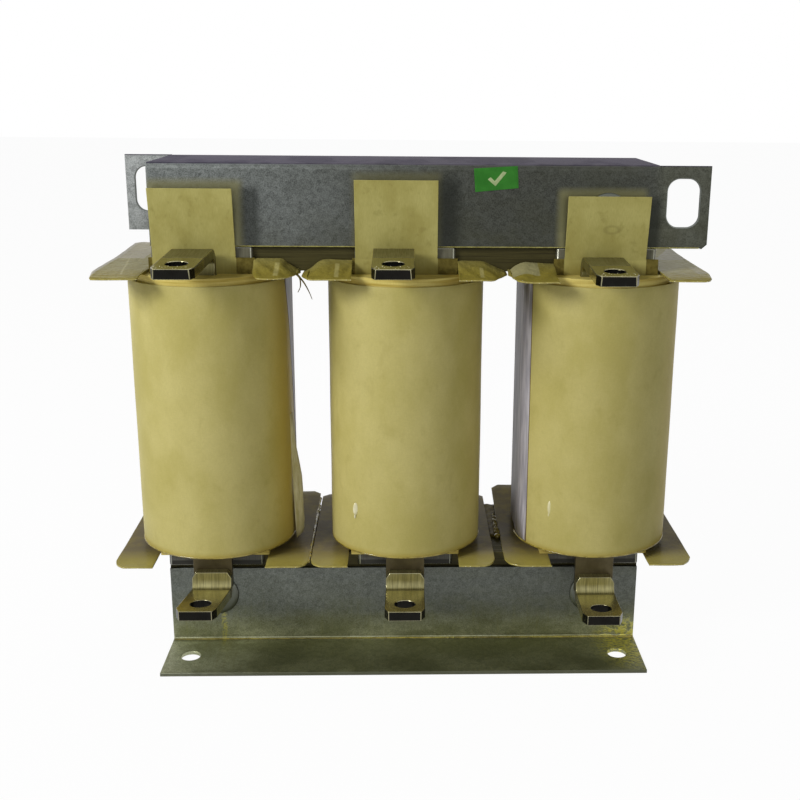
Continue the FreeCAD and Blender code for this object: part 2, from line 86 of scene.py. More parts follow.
# Coils, as the solids have them
COIL_RADIUS = 39.5
COIL_HALF_FLAT = 12.5
COIL_BOTTOM = 56.0
COIL_TOP = 197.0
WRAP = 0.8
# Y of the front wraps' cut edges on the left and the right side, each at the bottom and the top. The
# right coil's left edge lies 4 mm further forward than in the solids, as the photo shows it.
FRONT_WRAP_EDGES = (
    ((-12.0, -12.0), (14.0, -22.0)),
    ((-16.0, -16.0), (-6.0, -14.0)),
    ((-31.0, -30.5), (-8.0, -8.0)),
)
# How far the outer sheets of a coil bulge past its solids on either side
SWELLS = {("left", -1): 1.7, ("left", 1): 0.6, ("centre", 1): 0.8, ("right", -1): 0.8, ("right", 1): 2.1}
# The front wraps are a little uneven, in waves of these lengths round the coil and up it
UNEVENNESS = 0.2
WAVE_LENGTHS = (30.0, 45.0)
WRAP_ROWS = 44
WRAP_COLUMNS = 96
LINER = 0.8
SIDE_LINER_FACE = 25.3
SIDE_LINER_HALF_DEPTH = 33.9
TAB_OFFSETS = (-3.6, -4.3, -0.5)
TAB_HALF_WIDTH = 20.3

# Terminal bars: distances back from the tip, and what the scene adds to the cut corners
BAR_END_POINTS = 0.05
BAR_HOLE_PLACE = 11.0
BAR_HOLE_REACH = 6.0
BAR_END_DEPTH = 1.4
BAR_CORNERS = (1.5, 2.4)
BAR_CORNERS_ACROSS = 9.0
BAR_LONGER_CUT = 2.4
# Y behind which a bar is dull, and the lower bars' upstand with the dip that the scene gives them
BAR_DULL_LINE = -62.5
LOW_BAR_DULL_LINE = -57.6
LOW_BAR_FRONT = -53.6
LOW_BAR_UPSTAND = 5.2
LOW_BAR_SAG = 3.0

# Pale sheet that stands off the left coil's side: Y of its fixed and its free edge, then for each
# row the height, X of both edges, and how much lower the free edge is
LOOSE_SHEET_PLACES = (-19.4, -14.0)
LOOSE_SHEET = (
    (124.0, -60.4, -59.8, 0.0), (116.0, -60.4, -59.2, 0.5), (107.0, -60.4, -58.3, 1.5),
    (98.8, -60.3, -56.9, 1.7), (90.3, -60.2, -55.6, 1.7), (81.8, -59.9, -55.2, 1.8),
    (73.3, -59.5, -55.1, 1.9), (64.6, -59.2, -54.8, 1.9), (60.0, -59.0, -55.0, 0.8),
    (54.6, -58.7, -55.6, -2.6),
)

# Wings of the side liners. Each was formed by hand, so no two are alike. One that rises more than
# the least fan has a wavy rise, and falls back to its flat part behind the yoke's face.
WING_LOW = 51.6
WING_HIGH = 201.4
WING_REAR = 56.5
WING_REAR_CUT = 4.0
CREST_PLACE = -34.0
LEAST_FAN = 1.5
FULL_FAN = 4
FAN_CENTRE = (22.0, -30.0)
FAN_WAVE = 0.45
FAN_WAVES = 17
FAN_POWER = 1.15
FLAT_POWER = 5
WING_UNEVENNESS = 0.25
WING_WAVE_LENGTH = 11
# On top: distance from the leg's centre, place of the front edge, and how far that edge and the
# crest at the yoke's face stand above the flat part
TOP_WING_EDGES = {
    ("left", -1): ((27.5, -57.3, 0.1, 0.7), (44.0, -57.4, 0.0, 0.8), (48.6, -57.3, 0.0, 0.9),
                   (49.6, -56.0, 0.0, 1.0), (51.4, -47.0, 0.1, 1.0), (52.2, -42.0, 0.2, 1.0)),
    ("left", 1): ((25.6, -41.0, 1.0, 6.6), (27.0, -49.0, 0.4, 6.7), (29.0, -53.2, 0.0, 6.7),
                  (35.0, -54.0, -0.2, 6.7), (39.2, -53.4, -0.2, 6.6), (42.0, -51.6, 0.0, 4.4),
                  (45.0, -46.0, 0.1, 2.6), (48.2, -36.0, -0.1, 0.4)),
    ("centre", -1): ((26.0, -55.3, -0.1, 6.1), (31.0, -55.4, -0.1, 6.1), (40.6, -55.5, -0.1, 6.0),
                     (45.6, -55.2, -0.1, 2.7), (48.2, -51.0, -0.2, 0.8), (50.3, -44.5, -0.4, -0.1)),
    ("centre", 1): ((26.0, -56.8, 0.0, 5.8), (30.0, -56.8, 0.0, 5.8), (38.0, -56.7, 0.0, 5.8),
                    (42.2, -56.3, 0.0, 4.0), (45.6, -50.0, 0.0, 2.5), (50.2, -39.6, -0.1, 0.2)),
    ("right", -1): ((26.2, -59.6, -0.5, 4.6), (36.0, -59.8, -0.5, 5.0), (41.0, -59.4, -0.5, 5.2),
                    (45.0, -57.8, -0.2, 3.6), (47.4, -50.0, 0.0, 1.8), (48.9, -40.0, 0.0, 1.0)),
    ("right", 1): ((27.5, -57.0, 0.0, 0.7), (42.0, -57.0, 0.0, 0.7), (45.6, -56.6, 0.0, 0.8),
                   (47.8, -54.6, 0.0, 0.8), (49.2, -50.0, -0.2, 0.9), (50.4, -42.0, 0.1, 0.9)),
}
# Below: distance from the leg's centre and place of the front edge, whose heights above the flat
# part are the same on all
LOW_WING_EDGES = {
    ("left", -1): ((29.6, -53.2), (43.0, -53.2), (46.5, -51.6), (49.0, -48.4), (50.2, -44.0)),
    ("left", 1): ((27.9, -53.2), (43.0, -53.2), (46.8, -51.4), (48.6, -48.8), (49.4, -45.0)),
    ("centre", -1): ((29.8, -53.2), (42.0, -53.2), (45.6, -51.8), (48.0, -49.0), (49.4, -44.0)),
    ("centre", 1): ((28.0, -53.0), (39.0, -53.0), (43.0, -51.8), (45.6, -48.6), (47.2, -43.0)),
    ("right", -1): ((24.0, -53.2), (38.0, -53.2), (43.0, -51.6), (46.0, -48.6), (47.6, -43.0)),
    ("right", 1): ((27.2, -52.6), (43.0, -52.2), (46.6, -50.4), (49.4, -46.4), (51.2, -41.7)),
}
LOW_WING_RISES = (0.3, 0.3, 0.3, 0.2, 0.1)
# Both as distance from the leg's centre, place and height of the front edge, and the crest's height
TOP_WINGS = {
    key: [(u, front, WING_HIGH + low, WING_HIGH + crest) for u, front, low, crest in edge]
    for key, edge in TOP_WING_EDGES.items()
}
LOW_WINGS = {
    key: [(u, front, WING_LOW + low, WING_LOW) for (u, front), low in zip(edge, LOW_WING_RISES)]
    for key, edge in LOW_WING_EDGES.items()
}
# How far a wing's rear end stands above its flat part
TOP_REAR_RISES = {("left", -1): 1.6, ("right", 1): 1.2}
LOW_REAR_RISES = {("left", -1): 2.0, ("left", 1): 2.0, ("right", -1): 6.0}

# Pale mirror patches on the top wings: the directions and places of their straight edges, and
# their tone
MIRROR_PATCHES = (
    (((REAR, 3.5), (LEFT, 136.5)), (176, 168, 144)),
    (((LEFT, 149.9),), (180, 174, 160)),
    ((((0.990, 0.143, 0), -143.1), ((-0.990, -0.143, 0), 141.5), (REAR, -48.0), (FRONT, -4.0)),
     (178, 168, 116)),
    (((LEFT, 132.0), (FRONT, 53.6), (REAR, -55.2)), (196, 186, 130)),
    (((REAR, 6.0), ((0.928, -0.371, 0), 120.8)), (166, 160, 136)),
    (((RIGHT, 144.5), (REAR, -42.0), (FRONT, 20.0)), (158, 150, 118)),
    (((REAR, -50.0), (RIGHT, 52.0), (LEFT, -66.0)), (172, 166, 122)),
    (((RIGHT, -64.0), (LEFT, 61.0), (REAR, -51.5), (FRONT, 38.0)), (182, 172, 108)),
    (((RIGHT, -34.6), (LEFT, 31.8), (REAR, -53.0), (FRONT, 38.0)), (182, 172, 108)),
    (((RIGHT, 36.0), (LEFT, -38.6), (REAR, -54.0), (FRONT, 42.0)), (176, 166, 104)),
)

# Each tab's dim mirror image in the clamp: place along it, half width, strength, middle height,
# half height, and how softly the shade on its right fades
TAB_MIRRORS = (
    (-102.5, 20.5, 0.75, 229.0, 14.5, 6.0),
    (-4.0, 19.0, 0.45, 231.5, 16.0, 8.0),
    (97.0, 19.0, 0.7, 226.0, 14.0, 4.0),
)

# X of the stripes of painted shade down each coil's right side, and how dark each is
PAINTED_SIDE_SHADES = ((-63.0, 0.7), (36.0, 0.15), (137.0, 0.5))

# Inspection sticker: its corners on the clamp, X and height, and a plain tick in shares of its size
STICKER = ((34.2, 241.2), (55.4, 243.2), (33.4, 252.5), (54.7, 253.8))
TICK = ((0.30, 0.50), (0.47, 0.18), (0.74, 0.74), (0.66, 0.80), (0.46, 0.40), (0.37, 0.58))

# Runs of varnish on the coils, coloured near white as painted glints: place, and half size along X, Y and Z
COIL_RUNS = (
    ((-25.6, -43.0, 80.0), (1.5, 0.5, 3.6)), ((-26.0, -42.8, 76.0), (0.5, 0.3, 1.4)),
    ((75.4, -43.2, 80.6), (1.5, 0.5, 4.0)), ((74.8, -43.1, 76.6), (0.5, 0.3, 1.2)),
    ((-66.0, -32.6, 78.0), (0.4, 0.3, 2.4)),
)

# Strands of varnish that hang from the left coil's wing: radius at the end, and the way down
STRANDS = (
    ("left", 0.16, (
        (-52.6, -50.0, 203.4), (-50.6, -52.5, 201.6), (-50.2, -54.0, 198.0), (-51.4, -55.0, 195.2))),
    ("right", 0.12, (
        (-51.8, -50.5, 203.0), (-48.6, -53.0, 199.6), (-46.2, -54.5, 195.6), (-44.6, -55.2, 191.8))),
)
STRAND_RADIUS = 0.5

# What the lamps face, in metres
LIT_PLACE = (0.0, 0.0, 0.14)

# Seams between the low wings, filled with varnish, and a web in the right one: X and Y of two
# corners, its height and its waves
LEFT_SEAM = ((-50.1, -46.5, 52.1), (-50.6, 49.5, 52.1))
RIGHT_SEAM = ((50.9, -14.0, 52.6), (51.1, 20.0, 52.6))
SEAM_WEB = ((47.0, 38.0), (52.8, -12.0))
SEAM_WEB_HEIGHT = 51.9
SEAM_WEB_WAVE = 0.25


# Shader tools

def paint(red, green, blue):
    # Colour as seen on a screen, 0 to 255
    screen = [value / 255 for value in (red, green, blue)]
    linear = [value / 12.92 if value <= 0.04045 else ((value + 0.055) / 1.055) ** 2.4 for value in screen]
    return (*linear, 1.0)


def coloured(value):
    # A colour is given as it is seen on a screen, or as the output that makes it
    return paint(*value) if isinstance(value, tuple) else value


def set_inputs(tree, node, inputs):
    # Each input is a plain value or the output that feeds it
    for key, value in inputs.items():
        if isinstance(value, bpy.types.NodeSocket):
            tree.links.new(value, node.inputs[key])
        else:
            node.inputs[key].default_value = value
    return node


def put(tree, kind, inputs=None, **settings):
    node = tree.nodes.new("ShaderNode" + kind)
    for name, value in settings.items():
        setattr(node, name, value)
    return set_inputs(tree, node, inputs or {})


def tree_of(*values):
    # The tree of nodes that the outputs among the values are in
    return next(value.id_data for value in values if isinstance(value, bpy.types.NodeSocket))


def mixed(share, first, second, mode="MIX"):
    inputs = {0: share, 6: coloured(first), 7: coloured(second)}
    return put(tree_of(share, first, second), "Mix", inputs, data_type="RGBA", blend_type=mode).outputs[2]


def sums(operation, first, second=0.0, third=0.0):
    inputs = {0: first, 1: second, 2: third}
    return put(tree_of(first, second, third), "Math", inputs, operation=operation).outputs[0]


def product(first, second):
    return sums("MULTIPLY", first, second)


def opposite(share):
    return sums("SUBTRACT", 1.0, share)


def vector(operation, first, second=(0, 0, 0)):
    return put(tree_of(first, second), "VectorMath", {0: first, 1: second}, operation=operation).outputs


def eased(value, low, high, to_low=0.0, to_high=1.0, curve="SMOOTHSTEP"):
    inputs = {0: value, 1: low, 2: high, 3: to_low, 4: to_high}
    return put(value.id_data, "MapRange", inputs, interpolation_type=curve).outputs[0]


def places(tree):
    # Object coordinates in millimetres
    return vector("MULTIPLY", put(tree, "TexCoord").outputs["Object"], [1 / MM] * 3)[0]


def layered(tone, *layers):
    # Tints laid over a tone one by one, each with its mask, its share and its colour
    for mask, share, tint in layers:
        tone = mixed(mask if share == 1 else product(mask, share), tone, tint)
    return tone


def new_finish(name, **values):
    # A material and its nodes, with the plain values of its main shader
    material = bpy.data.materials.new(name)
    material.use_nodes = True
    tree = material.node_tree
    for key, value in values.items():
        tree.nodes["Principled BSDF"].inputs[key.replace("_", " ")].default_value = value
    return material, tree


def finished(material, bump=None, **outputs):
    # Links outputs to the main shader, and a height through a bump
    tree = material.node_tree
    shader = tree.nodes["Principled BSDF"]
    for key, value in outputs.items():
        tree.links.new(value, shader.inputs[key.replace("_", " ")])
    if bump:
        height, strength, distance = bump
        node = put(tree, "Bump", {"Height": height, "Strength": strength, "Distance": distance * MM})
        tree.links.new(node.outputs[0], shader.inputs["Normal"])
    return material


# Effects that several finishes share

def new_socket(tree, label, way, kind):
    return tree.interface.new_socket(name=label, in_out=way, socket_type="NodeSocket" + kind)


def new_group(name, inputs):
    # A node group with named inputs, each with its usual value
    tree = bpy.data.node_groups.new(name, "ShaderNodeTree")
    for label, value in inputs.items():
        kind = {3: "Vector", 4: "Color"}[len(value)] if isinstance(value, tuple) else "Float"
        new_socket(tree, label, "INPUT", kind).default_value = value
    return tree, tree.nodes.new("NodeGroupInput").outputs


def closed_group(tree, **outputs):
    for label in outputs:
        new_socket(tree, label, "OUTPUT", "Color" if label == "Color" else "Float")
    set_inputs(tree, tree.nodes.new("NodeGroupOutput"), outputs)
    return tree


def use(tree, group, *values):
    # A group's outputs for its inputs in their order
    return set_inputs(tree, put(tree, "Group", node_tree=group), dict(enumerate(values))).outputs


def patch_group():
    # Soft patches, with their size in millimetres along X, Y and Z
    tree, given = new_group("soft_patches", {
        "Size": (10.0, 10.0, 10.0), "Detail": 3.0, "Low": 0.3, "High": 0.7})
    at = vector("DIVIDE", places(tree), given["Size"])[0]
    field = put(tree, "TexNoise", {"Vector": at, "Scale": 1.0, "Detail": given["Detail"], "Roughness": 0.6})
    return closed_group(tree, Value=eased(field.outputs[0], given["Low"], given["High"]))


def rise_group():
    # 0 to 1 between two places along a direction
    tree, given = new_group("rise_along", {"Direction": (1.0, 0.0, 0.0), "Low": 0.0, "High": 1.0})
    along = vector("DOT_PRODUCT", places(tree), given["Direction"])["Value"]
    return closed_group(tree, Value=eased(along, given["Low"], given["High"]))


def spot_group():
    # 1 round a place, fading to 0 at the given distances along X, Y and Z
    tree, given = new_group("spot", {"Place": (0.0, 0.0, 0.0), "Reach": (10.0, 10.0, 10.0)})
    away = vector("SUBTRACT", places(tree), given["Place"])[0]
    length = vector("LENGTH", vector("DIVIDE", away, given["Reach"])[0])["Value"]
    return closed_group(tree, Value=eased(length, 0.3, 1.0, 1.0, 0.0))


def window_group():
    # 1 inside an upright rectangle along X and Z, fading to 0 past its soft edge
    tree, given = new_group("soft_window", {
        "Middle": (0.0, 0.0, 0.0), "Half Size": (10.0, 10.0, 10.0), "Softness": 3.0})
    away = vector("ABSOLUTE", vector("SUBTRACT", places(tree), given["Middle"])[0])[0]
    past = vector("SUBTRACT", away, given["Half Size"])[0]
    sides = put(tree, "SeparateXYZ", {0: past}).outputs
    across, up = (eased(sides[axis], 0.0, given["Softness"], 1.0, 0.0) for axis in (0, 2))
    return closed_group(tree, Value=product(across, up))


def film_group():
    # Varnish that tints a surface in uneven patches
    tree, given = new_group("varnish_film", {
        "Surface": (0.5, 0.5, 0.5, 1.0), "Varnish": (0.3, 0.3, 0.1, 1.0), "Size": (20.0, 20.0, 20.0),
        "Share": 0.5})
    uneven = use(tree, PATCHES, given["Size"], 4.0, 0.3, 0.7)[0]
    wet = product(eased(uneven, 0.0, 1.0, 0.45, 1.0), given["Share"])
    return closed_group(tree, Color=mixed(wet, given["Surface"], given["Varnish"]), Wet=wet)


def speckle_group():
    # Fine crystal speckle with a coarser one
    tree, given = new_group("speckle", {"Surface": (0.5, 0.5, 0.5, 1.0), "Contrast": 0.4, "Size": 0.5})
    fineness = sums("DIVIDE", 1.0, given["Size"])
    at = put(tree, "VectorMath", {0: places(tree), 3: fineness}, operation="SCALE").outputs[0]
    fine = put(tree, "TexNoise", {"Vector": at, "Scale": 1.0, "Detail": 2.0}).outputs[0]
    coarse = put(tree, "TexVoronoi", {"Vector": at, "Scale": 0.22}).outputs["Color"]
    grain = put(tree, "SeparateColor", {0: coarse}).outputs[0]
    both = sums("MULTIPLY_ADD", grain, 0.35, product(eased(fine, 0.3, 0.7), 0.65))
    low = opposite(given["Contrast"])
    high = sums("ADD", 1.0, given["Contrast"])
    level = eased(both, 0.0, 1.0, low, high, "LINEAR")
    grey = put(tree, "CombineColor", {0: level, 1: level, 2: level}).outputs[0]
    return closed_group(tree, Color=mixed(1.0, given["Surface"], grey, "MULTIPLY"), Height=both)


PATCHES = patch_group()
RISE = rise_group()
SPOT = spot_group()
WINDOW = window_group()
FILM = film_group()
SPECKLE = speckle_group()


def patches(tree, size, detail=3.0, low=0.3, high=0.7):
    # The size is one for all directions, or three
    return use(tree, PATCHES, size if isinstance(size, tuple) else (size,) * 3, detail, low, high)[0]


def rise(tree, direction, low, high):
    return use(tree, RISE, direction, low, high)[0]


def spot(tree, place, reach):
    return use(tree, SPOT, place, reach)[0]


def window(tree, middle, half_size, softness):
    # The middle and the half size are along X and Z
    return use(tree, WINDOW, (middle[0], 0, middle[1]), (half_size[0], 0, half_size[1]), softness)[0]


def filmed(tree, surface, varnish, size, share):
    outputs = use(tree, FILM, coloured(surface), coloured(varnish), size, share)
    return outputs["Color"], outputs["Wet"]


def speckled(tree, surface, contrast, size):
    outputs = use(tree, SPECKLE, surface, contrast, size)
    return outputs["Color"], outputs["Height"]


# Finishes

def clamp_finish():
    # Galvanised channel: clear on the left and ever more varnished to the right, and also painted
    # lighter on the left and darker to the right as shade from the light's fall-off. Each tab is
    # mirrored dimly in it, with a shade beside the mirror image, both painted.
    material, tree = new_finish("galvanised_clamp", Metallic=0.9, Specular_Tint=(0.4, 0.38, 0.44, 1))
    along = rise(tree, RIGHT, -130.0, 60.0)
    cloud = patches(tree, (26, 60, 10), 2.0, 0.45, 0.55)
    # Painted shade: the zinc darkens to the right as the light falls off
    zinc_with_painted_light = layered(
        mixed(along, (108, 112, 110), (66, 68, 64)),
        (rise(tree, LEFT, 124.0, 127.0), 0.6, (170, 173, 172)),
        (rise(tree, RIGHT, 120.0, 128.0), 0.5, (90, 92, 82)),
        # Painted reflection: the top face takes a darker lavender in patches, as the room mirrored in it
        (rise(tree, UP, 253.6, 254.2), 1, mixed(cloud, (54, 51, 62), (74, 71, 80))),
    )
    tone, grains = speckled(tree, zinc_with_painted_light, 0.5, 0.42)
    wet = sums("MULTIPLY_ADD", along, 0.3, product(rise(tree, DOWN, -236.0, -214.0), 0.25))
    tone = filmed(tree, tone, (58, 58, 40), (22, 16, 14), wet)[0]
    ahead = rise(tree, FRONT, 24.0, 26.0)
    for place, half_width, glow, height, half_height, shade in TAB_MIRRORS:
        image = window(tree, (place, height), (half_width, half_height), 5.0)
        beside = window(tree, (place + half_width + 6.0, height - 2.0), (2.0, half_height - 1.0), shade)
        tone = layered(
            tone,
            (product(image, ahead), glow, (124, 121, 84)),
            (product(beside, ahead), 0.62, (30, 32, 28)),
        )
    rough = eased(grains, 0.0, 1.0, 0.40, 0.54)
    return finished(material, (grains, 0.3, 0.05), Base_Color=tone, Roughness=rough)


def foot_finish():
    # Galvanised foot under a yellow varnish that has run down and pooled, most of all on the right.
    # Its plate is painted lighter than its wall as the light on its top, with a painted glare towards
    # the left, and the wall has a painted sheen low down.
    material, tree = new_finish("galvanised_foot", Metallic=0.8, Specular_Tint=(0.8, 0.8, 0.8, 1))
    plate = rise(tree, FRONT, 36.0, 38.0)
    glare = product(plate, rise(tree, LEFT, 60.0, 130.0))
    sheen = product(rise(tree, DOWN, -20.0, -3.0), opposite(plate))
    zinc_with_painted_light = layered(
        mixed(rise(tree, RIGHT, -125.0, 125.0), (104, 108, 104), (88, 91, 87)),
        (plate, 1, mixed(glare, (144, 146, 114), (206, 210, 178))),
        (sheen, 0.6, (186, 188, 150)),
    )
    tone, grains = speckled(tree, zinc_with_painted_light, 0.4, 0.45)
    down = rise(tree, DOWN, -34.0, -3.0)
    tone, wet = filmed(tree, tone, (92, 94, 54), (26, 18, 9), sums("MULTIPLY_ADD", down, 0.45, 0.12))
    streaks = product(patches(tree, (2.2, 30, 26), 2.0, 0.5, 0.8), 0.3)
    flecks = product(patches(tree, 0.5, 1.0, 0.62, 0.7), 0.5)
    drip = product(spot(tree, (-97.4, -34.0, 9.0), (2.2, 12, 17)), patches(tree, 0.9, 1.0, 0.35, 0.65))
    pool = spot(tree, (119.0, -46.0, 2.0), (22, 32, 16))
    wrinkles = product(patches(tree, (2.2, 1.0, 1.6), 2.0, 0.44, 0.56), pool)
    tone = layered(
        tone,
        (product(sums("MAXIMUM", streaks, flecks), down), 1, (128, 128, 80)),
        (drip, 1, (168, 164, 92)),
        (wrinkles, 1, (190, 184, 92)),
        (rise(tree, FRONT, FOOT_FRONT - 0.6, FOOT_FRONT - 0.1), 0.8, (62, 64, 54)),
    )
    height = sums("MULTIPLY_ADD", wrinkles, 6.0, grains)
    rough = eased(wet, 0.1, 0.7, 0.46, 0.28)
    return finished(material, (height, 0.35, 0.08), Base_Color=tone, Roughness=rough)


def wrap_finish():
    # Varnished glass cloth: cloudy yellow, a fine weave, darker at the foot, and painted shade in
    # stripes down each coil's right side
    material, tree = new_finish(
        "varnished_wrap", Roughness=0.5, Specular_IOR_Level=0.12, Coat_Weight=0.06, Coat_Roughness=0.2)
    cloud = patches(tree, (30, 30, 44), 4.0)
    side_shades = [(spot(tree, (place, -14.0, 120.0), (17, 34, 190)), share, (186, 160, 64))
               for place, share in PAINTED_SIDE_SHADES]
    weave = patches(tree, (1.6, 1.6, 0.3), 1.0)
    cloth = sums("ADD", weave, patches(tree, (0.3, 0.3, 2.2), 1.0))
    tone = layered(
        mixed(cloud, (201, 190, 122), (184, 173, 100)),
        (patches(tree, (9, 9, 13), 3.0, 0.55, 0.75), 0.35, (172, 160, 90)),
        *side_shades,
        (rise(tree, DOWN, -60.0, -55.8), 0.7, (180, 158, 62)),
        (cloth, 0.10, (150, 138, 80)),
    )
    return finished(material, (cloth, 0.15, 0.05), Base_Color=tone)


def tab_finish():
    # The same cloth on the upright tabs, with the mark of a bolt head drawn as a darker ring of painted
    # shade round a dent, between shoulders painted dark as the shade of the tabs
    material, tree = new_finish("varnished_tab", Roughness=0.5, Specular_IOR_Level=0.12)
    grain = patches(tree, (0.45, 0.45, 6.0), 2.0)
    # Painted shade: a darker ring round the place where a bolt head pressed the cloth
    imprint = spot(tree, (101.5, -40.0, 223.6), (5.4, 12, 2.9))
    ring = product(imprint, opposite(imprint))
    cloth = layered(
        mixed(patches(tree, (14, 14, 22), 4.0), (190, 182, 112), (170, 160, 90)),
        (patches(tree, (5, 5, 6), 3.0, 0.56, 0.72), 0.35, (140, 128, 66)),
        (grain, 0.22, (150, 140, 78)),
        (ring, 1.2, (120, 112, 62)),
        # Painted shade: darker below the shoulders' top
        (rise(tree, DOWN, -209.0, -200.0), 0.45, (120, 104, 36)),
    )
    on_tab = rise(tree, UP, 213.0, 214.0)
    for leg, offset in zip(LEG_PLACES, TAB_OFFSETS):
        strip = window(tree, (leg + offset, 215.0), (TAB_HALF_WIDTH, 80.0), 0.4)
        on_tab = sums("MAXIMUM", on_tab, strip)
    # Painted shade on the shoulders beside the tabs
    painted_shoulder_shade = mixed(patches(tree, 3, 3.0, 0.35, 0.65), (92, 82, 32), (120, 108, 50))
    return finished(material, (grain, 0.2, 0.05), Base_Color=mixed(on_tab, painted_shoulder_shade, cloth))


def wing_finish(name, high):
    # Bare glass-cloth board under glossy varnish: brown towards the rear, olive at the front. The
    # wings on top mirror the pale room in patches with straight edges.
    material, tree = new_finish(
        name, Roughness=0.35, Specular_IOR_Level=0.03, Coat_Weight=0.05, Coat_Roughness=0.06)
    tones = ((150, 142, 86), (146, 133, 56)) if high else ((112, 101, 72), (172, 160, 84))
    stain = (130, 116, 50) if high else (150, 136, 64)
    base = mixed(rise(tree, FRONT, 26.0, 50.0), *tones)
    base = layered(base, (patches(tree, 8, 3.0, 0.4, 0.7), 0.4, stain))
    for edges, light in MIRROR_PATCHES if high else ():
        patch = 1.0
        for direction, start in edges:
            patch = product(rise(tree, direction, start, start + 0.8), patch)
        base = layered(base, (patch, 0.85, light))
    tone = layered(base, (patches(tree, 0.5, 1.0), 0.12, (96, 90, 46)))
    strength, depth = (0.5, 0.7) if high else (0.15, 0.3)
    return finished(material, (patches(tree, 3.5, 2.0, 0.2, 0.8), strength, depth), Base_Color=tone)


def plain_sheet_finish(name, first, second, size, roughness, coat):
    material, tree = new_finish(
        name, Roughness=roughness, Specular_IOR_Level=0.04, Coat_Weight=coat, Coat_Roughness=0.2)
    fibres = patches(tree, (0.4, 0.4, 5.0), 1.0)
    base = mixed(patches(tree, size, 4.0), first, second)
    return finished(material, (fibres, 0.2, 0.05), Base_Color=layered(base, (fibres, 0.15, second)))


def side_sheet_finish():
    # Pale sheet with lavender wrinkles and olive runs at its top and bottom
    material, tree = new_finish(
        "pale_side_sheet", Roughness=0.5, Specular_IOR_Level=0.2, Coat_Weight=0.05, Coat_Roughness=0.3)
    wrinkles = patches(tree, (30, 3.0, 26))
    ends = sums("MAXIMUM", rise(tree, UP, 176.0, 197.0), rise(tree, DOWN, -74.0, -56.0))
    runs = product(patches(tree, (6, 3, 26), 3.0, 0.4, 0.6), ends)
    tone = layered(mixed(wrinkles, (204, 200, 206), (158, 154, 164)), (runs, 0.85, (96, 86, 46)))
    return finished(material, (wrinkles, 0.4, 0.4), Base_Color=tone)


def bar_finish(name, metal, varnish, low_rough, high_rough, dull=0.0, line=BAR_DULL_LINE):
    # Brushed metal under a thin varnish, darker and duller behind a line across it
    material, tree = new_finish(name, Metallic=0.92)
    lines = patches(tree, (0.3, 12.0, 12.0), 2.0)
    tone = filmed(tree, metal, varnish, (6, 7, 6), 0.6)[0]
    rough = eased(lines, 0.0, 1.0, low_rough, high_rough)
    if dull:
        behind = rise(tree, REAR, line - 0.3, line + 0.3)
        streaks = product(behind, eased(lines, 0.0, 1.0, 0.6, 1.0))
        tone = layered(tone, (streaks, dull, (40, 36, 20)))
        rough = sums("MULTIPLY_ADD", behind, 0.2, rough)
    return finished(material, (lines, 0.08, 0.05), Base_Color=tone, Roughness=rough)


def core_finish():
    # Sheet edges under brown varnish, darker to the right, and darkest where the clamp covers them,
    # which is painted shade
    material, tree = new_finish("varnished_core", Roughness=0.5, Specular_IOR_Level=0.15)
    lines = patches(tree, (46, 0.5, 0.55), 2.0)
    base = mixed(rise(tree, RIGHT, -70.0, 70.0), (66, 61, 32), (46, 41, 19))
    # Painted shade where the clamp covers the core, from its lower edge up
    base = layered(base, (lines, 1, (90, 84, 48)), (rise(tree, UP, 212.6, 214.4), 0.8, (24, 22, 10)))
    tone = filmed(tree, base, (58, 53, 26), (20, 8, 6), 0.5)[0]
    return finished(material, (lines, 0.25, 0.1), Base_Color=tone)


def packing_finish():
    # Smooth dark board: clear above, and painted grey lower down as a reflection, with a dark band of
    # painted shade over the foot
    material, tree = new_finish("packing_board", Roughness=0.4, Specular_IOR_Level=0.15)
    lines = patches(tree, (0.8, 8, 40), 2.0)
    tone = layered(
        # Painted reflection: grey lower down
        mixed(rise(tree, UP, 70.0, 190.0), (104, 103, 98), (112, 110, 92)),
        # Painted shade: a dark band low on the plates, over the foot
        (rise(tree, DOWN, -48.2, -47.4), 0.8, (26, 25, 20)),
        (lines, 0.3, (52, 50, 40)),
    )
    return finished(material, (lines, 0.15, 0.05), Base_Color=tone)


def drop_finish(name, clear, thick, roughness):
    material, tree = new_finish(
        name, Roughness=roughness, Specular_IOR_Level=0.4, Coat_Weight=0.4, Coat_Roughness=0.05)
    return finished(material, Base_Color=mixed(patches(tree, 3, 3.0, 0.35, 0.65), clear, thick))


